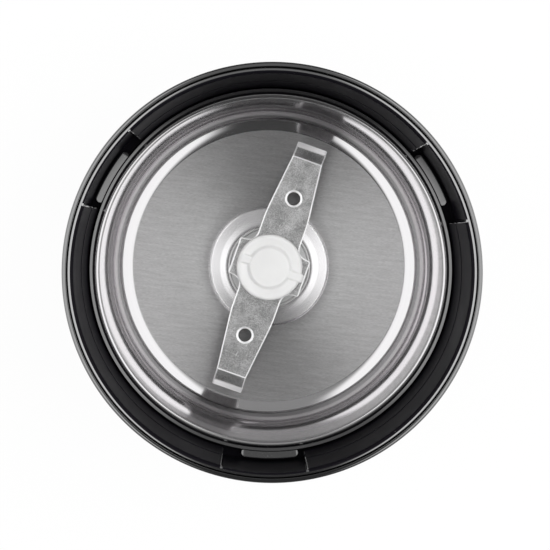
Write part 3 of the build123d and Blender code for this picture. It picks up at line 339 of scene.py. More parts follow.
@dataclass(frozen=True)
class TurnedMetal(Finish):
    """Metal polished while it spins: faint rings round the axis and a soft cloud of fine marks."""

    ring_scale: float = 900.0
    ring_depth: float = 0.004
    metallic: float = 1.0

    def make(self, tree: ShaderTree) -> Material:
        """Rings are noise of the radius and the height alone; clouds are noise of the place.

        Args:
            tree: the material's empty tree.

        Returns:
            The material.
        """
        place = tree.place()
        x, y, z = tree.split(place)
        across = tree.signal("ShaderNodeCombineXYZ", None, {0: tree.flat_length(x, y), 1: z})
        ring = tree.noise(across, self.ring_scale, 3.0, 0.7)
        cloud = tree.noise(place, 45.0, 4.0)
        return tree.principled({
            "Base Color": tree.mix(ring * 0.35, self.colour, self.shade(0.86)),
            "Roughness": self.roughness * (0.7 + 0.4 * ring + 0.4 * cloud),
            "Normal": tree.bump(ring, self.ring_depth),
            "Metallic": self.metallic,
        })


@dataclass(frozen=True)
class BrushedMetal(Finish):
    """Metal brushed in one direction: long fine scratches side by side."""

    turn: float = 0.0
    fine: float = 5200.0
    depth: float = 0.012
    stretch: float = 60.0
    spread: float = 0.25
    spun: float = 0.0

    def make(self, tree: ShaderTree) -> Material:
        """Two noises drawn out along the grain; fine one as bump and colour, coarse one as shade.

        Where it was spun before, its gloss is drawn out across the round grooves left by that.

        Args:
            tree: the material's empty tree.

        Returns:
            The material.
        """
        place = tree.place()
        along = tree.stretched(place, (1.0 / self.stretch, 1.0, 1.0), (0.0, 0.0, -self.turn))
        hair = tree.noise(along, self.fine, 3.0, 0.7)
        band = tree.noise(along, self.fine / 7, 3.0, 0.6)
        cloud = tree.noise(place, 70.0, 4.0)
        mark = tree.ramp(hair * 0.65 + band * 0.35, 0.3, 0.7)
        return tree.principled({
            "Base Color": tree.mix(mark, self.shade(1 - self.spread), self.colour),
            "Roughness": self.roughness * (0.85 + 0.2 * band + 0.2 * cloud),
            "Normal": tree.bump(hair, self.depth),
            "Metallic": 1.0,
            "Anisotropic": self.spun,
            "Anisotropic Rotation": 0.25,
        })


@dataclass(frozen=True)
class TumbledMetal(Finish):
    """Stamped metal tumbled with small stones: a satin skin full of tiny pits and bright nicks."""

    pit: float = 0.03
    pit_scale: float = 1500.0
    contrast: float = 0.3

    def make(self, tree: ShaderTree) -> Material:
        """Cells make the pits and noise the cloud; scratches are the thin seams of drawn-out cells.

        Args:
            tree: the material's empty tree.

        Returns:
            The material.
        """
        place = tree.place()
        cell = tree.cells(place, self.pit_scale)
        mottle = tree.noise(place, self.pit_scale * 1.1, 4.0, 0.75)
        cloud = tree.noise(place, 260.0, 5.0, 0.65)
        scratch = self.scratches(tree, place, 0.5) + self.scratches(tree, place, 2.1)
        mark = tree.ramp(mottle * 0.65 + cloud * 0.35, 0.38, 0.62)
        nick = (1 - tree.ramp(cell, 0.05, 0.2)) * tree.ramp(cloud, 0.5, 0.62)
        plain = tree.mix(mark, self.shade(1 - self.contrast), self.colour)
        return tree.principled({
            "Base Color": tree.mix(tree.math("MAXIMUM", nick, scratch * 0.5), plain, self.shade(1.5)),
            "Roughness": self.roughness * (0.75 + 0.5 * mottle),
            "Normal": tree.bump(cell * 0.5 + mottle + scratch * 0.3, self.pit),
            "Metallic": 1.0,
        })

    @staticmethod
    def scratches(tree: ShaderTree, place: Signal, turn: float) -> Signal:
        """Thin broken lines in one direction: seams of cells drawn out along it, kept here and there.

        Args:
            tree: the material's tree.
            place: the point on the surface.
            turn: angle of the lines in radians.

        Returns:
            1 in the middle of a line and 0 beside it.
        """
        along = tree.stretched(place, (0.06, 1.0, 1.0), (0.0, 0.0, turn))
        seam = 1 - tree.ramp(tree.cells(along, 900.0, "DISTANCE_TO_EDGE"), 0.0, 0.035)
        return seam * tree.ramp(tree.noise(place, 320.0, 2.0), 0.55, 0.66)


@dataclass(frozen=True)
class StackedSheets(Finish):
    """Pressed steel sheets stacked along Z: thin dark lines between them, oiled and a little rusty."""

    pitch: float = 0.5
    rust: Colour = (0.22, 0.12, 0.07)

    def make(self, tree: ShaderTree) -> Material:
        """Each sheet is one period of a wave in z; its troughs are the dark lines.

        Args:
            tree: the material's empty tree.

        Returns:
            The material.
        """
        place = tree.place()
        wave = tree.math("SINE", tree.split(place)[2] * (TURN / (self.pitch * MM))) * 0.5 + 0.5
        stain = tree.ramp(tree.noise(place, 160.0, 5.0), 0.5, 0.75)
        seam = 1 - tree.ramp(wave, 0.0, 0.3)
        sheet = tree.mix(seam * 0.7, self.colour, self.shade(0.3))
        return tree.principled({
            "Base Color": tree.mix(stain * 0.5, sheet, self.rust),
            "Roughness": self.roughness + stain * 0.2,
            "Metallic": 1 - stain * 0.5,
            "Normal": tree.bump(wave, 0.12),
        })


@dataclass(frozen=True)
class WoundWire(Finish):
    """Enamelled wire wound in layers: ridges one wire apart, with a glossy lacquer."""

    pitch: float = 0.55

    def make(self, tree: ShaderTree) -> Material:
        """The height is the distance from each wire's middle line along Z, made round.

        Args:
            tree: the material's empty tree.

        Returns:
            The material.
        """
        place = tree.place()
        wobble = tree.noise(place, 90.0, 2.0) * 0.6
        phase = tree.math("FRACT", tree.split(place)[2] * (1 / (self.pitch * MM)) + wobble)
        ridge = 1 - abs(phase * 2 - 1) ** 2.0
        return tree.principled({
            # Base colour darkened to 0.35 of the copper between the turns, where the round wires meet:
            # painted shade in the grooves.
            "Base Color": tree.mix(tree.ramp(ridge, 0.0, 0.5), self.shade(0.35), self.colour),
            "Roughness": self.roughness + (1 - ridge) * 0.2,
            "Normal": tree.bump(ridge, 0.25),
            "Metallic": 0.85,
            "Coat Weight": 0.6,
            "Coat Roughness": 0.15,
        })


@dataclass(frozen=True)
class SinteredMetal(Finish):
    """Pressed metal powder with oil in its pores."""

    def make(self, tree: ShaderTree) -> Material:
        """Pores are the dark cores of small cells; the oil is a smoother cloud.

        Args:
            tree: the material's empty tree.

        Returns:
            The material.
        """
        place = tree.place()
        pore = 1 - tree.ramp(tree.cells(place, 1800.0), 0.12, 0.3)
        return tree.principled({
            "Base Color": tree.mix(pore * 0.6, self.colour, self.shade(0.3)),
            "Roughness": self.roughness - tree.noise(place, 200.0, 3.0) * 0.15,
            "Normal": tree.bump(1 - pore, 0.05),
            "Metallic": 1.0,
        })


@dataclass(frozen=True)
class PressedBoard(Finish):
    """Paper board for circuits: mottled fibre under a thin varnish."""

    def make(self, tree: ShaderTree) -> Material:
        """Fibres are a noise drawn out along X, mottling is a coarse one.

        Args:
            tree: the material's empty tree.

        Returns:
            The material.
        """
        place = tree.place()
        fibre = tree.noise(tree.stretched(place, (0.15, 1.0, 1.0)), 1200.0, 4.0)
        mottle = tree.noise(place, 140.0, 4.0)
        mark = tree.ramp(fibre * 0.6 + mottle * 0.4, 0.35, 0.65)
        return tree.principled({
            "Base Color": tree.mix(mark, self.shade(0.7), self.colour),
            "Roughness": self.roughness + mottle * 0.2,
            "Normal": tree.bump(fibre, 0.02),
            "Coat Weight": 0.3,
            "Coat Roughness": 0.2,
        })


class Look(Enum):
    """Every finish of the grinder."""

    CASING = Moulding(
        "casing_gloss", (0.006, 0.006, 0.0065), 0.12,
        uneven=0.4, dust=0.25, coat=1.0, coat_ior=2.6, coat_level=147.2,
    )
    WELL = Moulding("well_black", (0.0048, 0.0043, 0.006), 0.36, uneven=0.6, dust=0.3, ior=1.12)
    LIP = Moulding("well_lip", (0.006, 0.006, 0.0065), 0.14, uneven=0.3, ior=2.0, coat=1.0, coat_ior=3.0)
    COLLAR = Moulding(
        "collar_satin", (0.006, 0.0057, 0.0067), 0.22,
        grain=0.006, uneven=0.5, dust=0.3, coat=1.0, coat_ior=2.1,
    )
    BASE = Moulding("base_texture", (0.022, 0.022, 0.023), 0.5, grain=0.05)
    BUTTON = Moulding("button_texture", (0.030, 0.030, 0.031), 0.42, grain=0.04)
    CAP = Moulding("cap_white", (0.775, 0.775, 0.77), 0.33, grain=0.004, uneven=0.3, glow=0.35)
    NYLON = Moulding("nylon_natural", (0.70, 0.69, 0.63), 0.42, grain=0.02, glow=0.2)
    FERRITE = Moulding("ferrite_dull", (0.06, 0.06, 0.065), 0.6, grain=0.06)
    CARBON = Moulding("carbon_dull", (0.03, 0.03, 0.03), 0.55, grain=0.05)
    CAPACITOR = Moulding("capacitor_yellow", (0.62, 0.42, 0.05), 0.35, grain=0.02)
    WIRE = Moulding("wire_sleeve", (0.10, 0.10, 0.11), 0.4, grain=0.01)
    RUBBER = Rubber("black_rubber", (0.020, 0.020, 0.020), 0.62)
    # Wall and boss are the same pressed steel as the corner and the floor, with lighter colours (0.97 and
    # 0.86 against 0.62 and 0.64): painted light that brightens them.
    WALL = TurnedMetal("bowl_polished", (0.97, 0.94, 0.96), 0.055, ring_depth=0.0005, metallic=0.87)
    CORNER = TurnedMetal("bowl_corner", (0.62, 0.613, 0.62), 0.1, ring_depth=0.0005)
    BOSS = TurnedMetal("boss_spun", (0.86, 0.85, 0.86), 0.21, ring_depth=0.0008)
    FLOOR = BrushedMetal(
        "bowl_brushed", (0.64, 0.64, 0.64), 0.41, math.radians(-7),
        fine=9500.0, stretch=9.0, spread=0.32, spun=0.85,
    )
    BLADE = TumbledMetal("blade_tumbled", (0.72, 0.72, 0.72), 0.36, pit_scale=3200.0, contrast=0.58)
    # The edge steel is lighter than the blade's face and half diffuse: the ground edges are brighter steel,
    # and the extra lightness is a painted highlight along the chamfers of the outline and the holes.
    EDGE = TurnedMetal("blade_edge", (0.9, 0.9, 0.9), 0.3, ring_scale=1400.0, metallic=0.55)
    WASHER = BrushedMetal("washer_ground", (0.72, 0.72, 0.72), 0.3, math.radians(25), fine=7000.0)
    BRIGHT = TurnedMetal("bright_steel", (0.72, 0.72, 0.73), 0.18, ring_depth=0.008)
    ZINC = TumbledMetal("zinc_plate", (0.62, 0.64, 0.66), 0.32, pit_scale=700.0)
    SHEETS = StackedSheets("steel_sheets", (0.34, 0.34, 0.36), 0.4)
    COPPER = WoundWire("copper_wire", (0.62, 0.24, 0.09), 0.28)
    BRONZE = SinteredMetal("sintered_bronze", (0.50, 0.34, 0.15), 0.5)
    BOARD = PressedBoard("circuit_board", (0.36, 0.22, 0.09), 0.45)

    def material(self) -> Material:
        """The finish's material."""
        return self.value.material()


NODE_LOOKS: dict[Look, str] = {
    Look.CASING: "outer_casing",
    Look.WELL: "well_liner",
    Look.COLLAR: "bowl_collar",
    Look.BASE: "base_plate bowl_base bowl_cradle boss_core microswitch brush_holders",
    Look.BUTTON: "button_bezel push_button",
    Look.CAP: "hub_cap switch_plunger",
    Look.NYLON: "drive_dog driven_dog cooling_fan terminal_block",
    Look.FERRITE: "choke_coils",
    Look.CARBON: "carbon_brushes",
    Look.CAPACITOR: "suppressor_capacitor",
    Look.WIRE: "lead_wires",
    Look.RUBBER: "rubber_feet cord_inlet well_seal bowl_gasket shaft_seal motor_grommets",
    Look.WALL: "grinding_bowl",
    Look.BLADE: "blade",
    Look.WASHER: "blade_washer",
    Look.BRIGHT: "base_screws stator_bolts motor_screws stator_spacers blade_shaft rotor_shaft shaft_clip "
    "thrust_washers button_spring",
    Look.ZINC: "upper_bracket lower_bracket",
    Look.SHEETS: "stator_core armature_core",
    Look.COPPER: "field_coils armature_windings commutator",
    Look.BRONZE: "lower_bearing upper_bearing bowl_bush bush_nut",
    Look.BOARD: "switch_card filter_card",
}


def dress_nodes() -> None:
    """Gives every node of the frame its finish."""
    for look, names in NODE_LOOKS.items():
        for name in names.split():
            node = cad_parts[name]
            for place in node.material_slots:
                place.material = look.material()
            if not node.material_slots:
                node.data.materials.append(look.material())
            log.info("dressed %s as %s", name, look.value.name)


# ---------------------------------------------------------------------------------------------
# Studio
# ---------------------------------------------------------------------------------------------
@dataclass(frozen=True)
class SoftBox:
    """A rectangular soft lamp, with its power in watts."""

    name: str
    place: Triple
    size: Pair
    power: float
    aim: Triple = (0.0, 0.0, 0.11)

    def build(self) -> None:
        """Makes the lamp and turns it towards its aim; shiny surfaces don't see it."""
        lamp = bpy.data.lights.new(self.name, "AREA")
        lamp.shape = "RECTANGLE"
        lamp.size, lamp.size_y = self.size
        lamp.energy = self.power
        holder = bpy.data.objects.new(self.name, lamp)
        bpy.context.scene.collection.objects.link(holder)
        holder.location = self.place
        aim = Vector(self.aim) - Vector(self.place)
        holder.rotation_euler = aim.to_track_quat("-Z", "Y").to_euler()
        holder.visible_glossy = False


@dataclass
class Studio:
    """Floor, world, lamps and camera, in metres.

    Levels are brightnesses of parts of the world; edges and heights are where a part begins and is full.
    """

    floor_side: float = 6.0
    paper: Colour = (0.82, 0.82, 0.82)
    floor_shiny: float = 0.8
    floor_dim: float = 0.85
    floor_glow: float = 0.94
    camera_place: Triple = (-0.0087, 0.0161, 0.568)
    camera_aim: Triple = (0.00053, -0.00036, 0.148)
    lens: float = 113.75
    sensor: float = 36.0
    clip: Pair = (0.01, 50.0)
    world_level: float = 0.3
    tent_level: float = 1.5
    back_level: float = 0.36
    gap_level: float = 0.07
    floor_lit: Pair = (0.3, 0.95)
    side_edge: Pair = (0.07, 0.26)
    high_edge: Pair = (0.38, 0.66)
    horizon_edge: Pair = (0.0, 0.12)
    back_height: Pair = (0.35, 0.65)
    back_edge: Pair = (-0.04, 0.2)
    boxes: tuple[SoftBox, ...] = (
        SoftBox("box_left", (-0.75, 0.02, 0.62), (0.8, 1.1), 4.8),
        SoftBox("box_right", (0.75, 0.12, 0.62), (0.8, 1.1), 7.6),
        SoftBox("box_top", (0.1, 0.0, 1.5), (1.2, 0.6), 11.6),
    )

    def floor(self) -> None:
        """A square plane z = 0 with a finish that the camera sees as white, with a faint shadow."""
        span = np.linspace(-self.floor_side / 2, self.floor_side / 2, 9)
        x, y = np.meshgrid(span, span, indexing="ij")
        shell = Shell()
        shell.patch(np.stack([x, y, np.zeros_like(x)], axis=-1) / MM)
        shell.build("studio_floor", [self.floor_finish()])

    def floor_finish(self) -> Material:
        """Pale matt paper, mostly glowing white for the camera and clear plastic.

        Shiny surfaces see it bright towards -X and +X and dim towards -Y and +Y.

        Returns:
            The material.
        """
        tree = ShaderTree(bpy.data.materials.new("studio_paper"))
        x, y, _ = tree.split(tree.place())
        lit = tree.ramp(abs(x) / tree.flat_length(x, y, 1e-6), *self.floor_lit)
        shiny, camera, clear = tree.light_path("Is Glossy Ray", "Is Camera Ray", "Is Transmission Ray")
        seen = tree.math("MAXIMUM", camera, tree.math("MAXIMUM", shiny * lit * self.floor_shiny, clear))
        shade = tree.mix(shiny * (1 - lit) * self.floor_dim, self.paper, (0.0, 0.0, 0.0))
        paper = tree.add("ShaderNodeBsdfDiffuse", None, {"Color": shade})
        glow = tree.add("ShaderNodeEmission", None, {"Color": (1, 1, 1, 1), "Strength": 1.0})
        mixed = tree.add("ShaderNodeMixShader", None, {0: seen * self.floor_glow})
        tree.links.new(paper.outputs[0], mixed.inputs[1])
        tree.links.new(glow.outputs[0], mixed.inputs[2])
        return tree.close(mixed)

    def world(self) -> None:
        """A world that the camera sees as white and shiny surfaces see as a tent with two bright sides.

        The sides are bright towards -X and +X: one begins where x^2 / (z sqrt(x^2 + y^2)) is large, and near
        the horizon it fades with the fifth power of |x| / sqrt(x^2 + y^2). The back of the tent, towards +Y,
        is dim and its front nearly dark. Everything that isn't shiny gets an even dim light.
        """
        tree = ShaderTree(bpy.data.worlds.new("studio_world"))
        towards = tree.vector("NORMALIZE", tree.signal("ShaderNodeTexCoord", output="Generated"))
        x, y, z = tree.split(towards)
        flat = tree.flat_length(x, y, 1e-6)
        aside = abs(x) / flat
        below_top = tree.ramp(x * x / (flat * tree.math("MAXIMUM", z, 0.01)), *self.side_edge)
        high = tree.ramp(z, *self.high_edge)
        side = below_top * tree.ramp(z, *self.horizon_edge) * (high + (1 - high) * aside**5.0)
        back = tree.ramp(z, *self.back_height) * tree.ramp(y, *self.back_edge) * (1 - side)
        tent = side * (self.tent_level - self.gap_level) + back * (self.back_level - self.gap_level)
        shiny, seen = tree.light_path("Is Glossy Ray", "Is Camera Ray")
        level = shiny * (tent + self.gap_level) + (1 - shiny) * self.world_level
        level = seen + (1 - seen) * level
        light = tree.add("ShaderNodeBackground", None, {"Color": (1, 1, 1, 1), "Strength": level})
        bpy.context.scene.world = tree.close(light)
        bpy.context.scene.world.cycles.sampling_method = "NONE"

    def camera(self) -> None:
        """The camera above the bowl, with the front of the grinder at the foot of the picture."""
        lens = bpy.data.cameras.new("camera")
        lens.lens = self.lens
        lens.sensor_width = self.sensor
        lens.clip_start, lens.clip_end = self.clip
        camera = bpy.data.objects.new("camera", lens)
        bpy.context.scene.collection.objects.link(camera)
        look = (Vector(self.camera_aim) - Vector(self.camera_place)).normalized()
        right = look.cross(Vector((0, 1, 0))).normalized()
        turn = np.array([right, right.cross(look), -look]).T
        camera.matrix_world = Matrix.Translation(self.camera_place) @ Matrix(turn.tolist()).to_4x4()
        bpy.context.scene.camera = camera

    def build(self) -> None:
        """Sets up everything round the grinder."""
        self.floor()
        self.world()
        for box in self.boxes:
            box.build()
        self.camera()
        bpy.context.scene.view_settings.view_transform = "Standard"


# ---------------------------------------------------------------------------------------------
# Surfaces
# ---------------------------------------------------------------------------------------------
class Shell:
    """One piece gathered from patches, each a grid of points in millimetres."""

    def __init__(self) -> None:
        """Starts with no patch."""
        self.points: list[np.ndarray] = []
        self.faces: list[np.ndarray] = []
        self.zones: list[np.ndarray] = []
        self.count = 0

    def patch(
        self, grid: np.ndarray, around: bool = False, along: bool = False, zone: int | np.ndarray = 0
    ) -> Shell:
        """Adds a grid of points as quads.

        Args:
            grid: points of shape (rows, columns, 3).
            around: joins the last row to the first.
            along: joins the last column to the first.
            zone: number of the finish that the patch takes, or one number for each quad.

        Returns:
            The shell itself.
        """
        rows, columns = grid.shape[:2]
        index = np.arange(rows * columns).reshape(rows, columns) + self.count
        if around:
            index = np.vstack([index, index[:1]])
        if along:
            index = np.hstack([index, index[:, :1]])
        corners = [index[:-1, :-1], index[1:, :-1], index[1:, 1:], index[:-1, 1:]]
        faces = np.stack(corners, axis=-1).reshape(-1, 4)
        self.points.append(grid.reshape(-1, 3))
        self.faces.append(faces)
        self.zones.append(np.broadcast_to(zone, corners[0].shape).ravel())
        self.count += rows * columns
        return self

    def build(self, name: str, finishes: Sequence[Material], crease: float = 30.0) -> Piece:
        """Makes the object: merges seams and poles, turns the faces outwards and smooths them.

        Args:
            name: name of the piece.
            finishes: one material for each zone.
            crease: angle in degrees past which an edge stays sharp.

        Returns:
            The object, at the origin.
        """
        mesh = bpy.data.meshes.new(name)
        points = np.concatenate(self.points) * MM
        mesh.from_pydata(points.tolist(), [], np.concatenate(self.faces).tolist())
        mesh.polygons.foreach_set("material_index", np.concatenate(self.zones).astype(np.int32))
        for finish in finishes:
            mesh.materials.append(finish)
        work = bmesh.new()
        work.from_mesh(mesh)
        bmesh.ops.remove_doubles(work, verts=work.verts, dist=SEAM)
        bmesh.ops.dissolve_degenerate(work, dist=SLIVER, edges=work.edges)
        bmesh.ops.recalc_face_normals(work, faces=work.faces)
        work.to_mesh(mesh)
        work.free()
        mesh.shade_smooth()
        mesh.set_sharp_from_angle(angle=math.radians(crease))
        piece = bpy.data.objects.new(name, mesh)
        bpy.context.scene.collection.objects.link(piece)
        return piece


def turned(profile: np.ndarray, angles: np.ndarray) -> np.ndarray:
    """Turned surface: x = r cos a, y = r sin a, z = z for each angle a and each point (r, z).

    Args:
        profile: points (r, z), of shape (columns, 2), or (rows, columns, 2) where it changes with the angle.
        angles: one angle in radians for each row.

    Returns:
        Points of shape (rows, columns, 3).
    """
    profile = np.broadcast_to(profile, (len(angles), *profile.shape[-2:]))
    r, z = profile[..., 0], profile[..., 1]
    a = angles[:, None]
    return np.stack([r * np.cos(a), r * np.sin(a), z], axis=-1)


def full_turn(count: int) -> np.ndarray:
    """Evenly spaced angles of one whole turn."""
    return np.arange(count) * TURN / count


def softened(corners: Sequence[Sequence[float]], closed: bool = False, steps: int = 5) -> np.ndarray:
    """A line whose corners are parabolas that touch both sides of each corner.

    With P the corner and A, B the points at the setback from it on its two sides, the arc is
    (1 - s)^2 A + 2 s (1 - s) P + s^2 B for s from 0 to 1.

    Args:
        corners: (x, y, setback) of each corner; two setbacks that don't fit on their side share it.
        closed: joins the last corner to the first.
        steps: points of each arc.

    Returns:
        Points of shape (count, 2).
    """
    table = np.asarray(corners, float)
    p, setback = table[:, :2], table[:, 2]
    if not closed:
        setback[[0, -1]] = 0.0
    ways = (1, -1)
    runs = [np.roll(p, way, axis=0) - p for way in ways]
    lengths = [np.linalg.norm(run, axis=1) + TINY for run in runs]
    rooms = [
        length * setback / (setback + np.roll(setback, way) + TINY) for length, way in zip(lengths, ways)
    ]
    reach = np.minimum(setback, 0.98 * np.minimum(*rooms))
    a, b = (p + run * (reach / length)[:, None] for run, length in zip(runs, lengths))
    s = np.linspace(0, 1, steps)[None, :, None]
    arcs = (1 - s) ** 2 * a[:, None] + 2 * s * (1 - s) * p[:, None] + s**2 * b[:, None]
    line = arcs.reshape(-1, 2)
    return line[np.append(np.linalg.norm(np.diff(line, axis=0), axis=1) > SAME, True)]


def divided(line: np.ndarray, step: float) -> np.ndarray:
    """A line with extra points on its long runs, so that no run is longer than step.

    Args:
        line: points of shape (count, 2).
        step: the longest run.

    Returns:
        The points with the extra ones between them.
    """
    run = np.linalg.norm(np.diff(line, axis=0), axis=1)
    parts = np.maximum(1, np.ceil(run / step)).astype(int)
    start = np.repeat(line[:-1], parts, axis=0)
    ahead = np.repeat(np.diff(line, axis=0), parts, axis=0)
    share = (np.arange(parts.sum()) - np.repeat(np.cumsum(parts) - parts, parts)) / np.repeat(parts, parts)
    return np.vstack([start + ahead * share[:, None], line[-1:]])


def beside(line: np.ndarray, distance: float) -> np.ndarray:
    """A line moved sideways: each point goes along the normal of the line by the distance.

    Args:
        line: points of shape (count, 2).
        distance: how far, to the right of the line's way.

    Returns:
        The moved points.
    """
    ahead = np.gradient(line, axis=0)
    ahead /= np.linalg.norm(ahead, axis=1, keepdims=True) + 1e-12
    return line + distance * np.stack([ahead[:, 1], -ahead[:, 0]], axis=-1)


def rise(value: np.ndarray, low: float, high: float) -> np.ndarray:
    """Smooth step: 3 t^2 - 2 t^3 with t going from 0 at low to 1 at high."""
    t = np.clip((value - low) / (high - low), 0, 1)
    return t * t * (3 - 2 * t)


def window(value: np.ndarray, low: float, high: float, edge: float) -> np.ndarray:
    """1 between low and high, falling to 0 over the width of one edge outside them."""
    return rise(value, low - edge, low) * (1 - rise(value, high, high + edge))


def apart(first: np.ndarray | float, second: np.ndarray | float) -> np.ndarray:
    """Distance between angles in degrees, the short way round."""
    return np.abs((first - second + 180) % 360 - 180)


def sector_angles(starts: Sequence[float], width: float, coarse: int = 240, fine: int = 12) -> np.ndarray:
    """Angles of a whole turn in degrees, even, with more of them close to each of some edges.

    Args:
        starts: the edges' angles.
        width: how far the finer steps reach on both sides.
        coarse: steps of a whole turn.
        fine: steps close to each edge.

    Returns:
        The angles, sorted.
    """
    even = np.arange(coarse) * 360.0 / coarse
    near = (np.asarray(starts)[:, None] + np.linspace(-width, width, fine)[None, :]).ravel() % 360
    clear = apart(even[:, None], np.asarray(starts)[None, :]).min(axis=1) > width
    return np.unique(np.concatenate([even[clear], near]))


def carve(piece: Piece, cutter: Piece, crease: float) -> Piece:
    """Takes the cutter's volume out of the piece and removes the cutter.

    Args:
        piece: the piece that is cut.
        cutter: a closed shape.
        crease: angle in degrees past which an edge stays sharp.

    Returns:
        The piece.
    """
    modifier = piece.modifiers.new("carve", "BOOLEAN")
    modifier.operation = "DIFFERENCE"
    modifier.solver = "EXACT"
    modifier.object = cutter
    graph = bpy.context.evaluated_depsgraph_get()
    mesh = bpy.data.meshes.new_from_object(piece.evaluated_get(graph), depsgraph=graph)
    piece.modifiers.clear()
    old, piece.data = piece.data, mesh
    mesh.name = piece.name
    mesh.shade_smooth()
    mesh.set_sharp_from_angle(angle=math.radians(crease))
    bpy.data.meshes.remove(old)
    bpy.data.meshes.remove(cutter.data)
    return piece


# ---------------------------------------------------------------------------------------------
# Pieces, with all sizes in millimetres
# ---------------------------------------------------------------------------------------------
@dataclass
class Casing:
    """The tapered outer casing with its rounded rim, the opening for the button and that for the cord."""

    rim: Pair = (51.08, 148.0)
    lip: float = 49.95
    rim_round: float = 0.95
    foot: Pair = (54.0, 9.0)
    shoulder: Triple = (48.45, 123.0, 117.0)
    inner: float = 51.4
    inner_top: float = 17.0
    button: Four = (28.5, 20.5, 7.95, 49.3)
    inlet: Pair = (6.82, 22.0)
    reach: Pair = (45.0, 59.0)
    rows: int = 360
    crease: float = 30.0

    def build(self) -> Piece:
        """A closed profile carried round the axis, with both openings cut.

        Returns:
            The casing.
        """
        shoulder, high, low = self.shoulder
        corners = [
            (*self.foot, 0.4), (*self.rim, self.rim_round), (self.lip, self.rim[1], 0.08),
            (self.lip, high, 0.1), (shoulder, high, 0.1), (shoulder, low, 0.1),
            (self.inner, self.inner_top, 0.3), (self.inner, self.foot[1], 0.1),
        ]
        profile = softened(corners, closed=True, steps=9)
        profile = divided(np.vstack([profile, profile[:1]]), 8.0)[:-1]
        shell = Shell().patch(turned(profile, full_turn(self.rows)), True, True)
        casing = shell.build("outer_casing_skin", [Look.CASING.material()])
        casing = carve(casing, self.button_cutter(), self.crease)
        return carve(casing, self.inlet_cutter(), self.crease)

    def button_cutter(self) -> Piece:
        """A bar of rounded rectangular section along Y, through the front of the casing.

        Returns:
            The bar.
        """
        width, tall, radius, level = self.button
        steps = 48
        turn = np.radians((np.arange(steps) + 0.5) * (360 / steps))
        x = radius * np.cos(turn) + np.sign(np.cos(turn)) * (width / 2 - radius)
        z = radius * np.sin(turn) + np.sign(np.sin(turn)) * (tall / 2 - radius) + level
        near, far = self.reach
        share = np.array([0.0, 1.0, 1.0, 0.0])
        y = np.broadcast_to(-np.array([near, near, far, far]), (steps, 4))
        grid = np.stack([x[:, None] * share, y, level + (z - level)[:, None] * share], axis=-1)
        return Shell().patch(grid, True).build("button_cutter", [])

    def inlet_cutter(self) -> Piece:
        """A round bar along Y, through the back of the casing.

        Returns:
            The bar.
        """
        radius, level = self.inlet
        near, far = self.reach
        profile = np.array([(0.0, near), (radius, near), (radius, far), (0.0, far)])
        bar = turned(profile, full_turn(64))[..., [0, 2, 1]] + np.array([0.0, 0.0, level])
        return Shell().patch(bar, True).build("inlet_cutter", [])


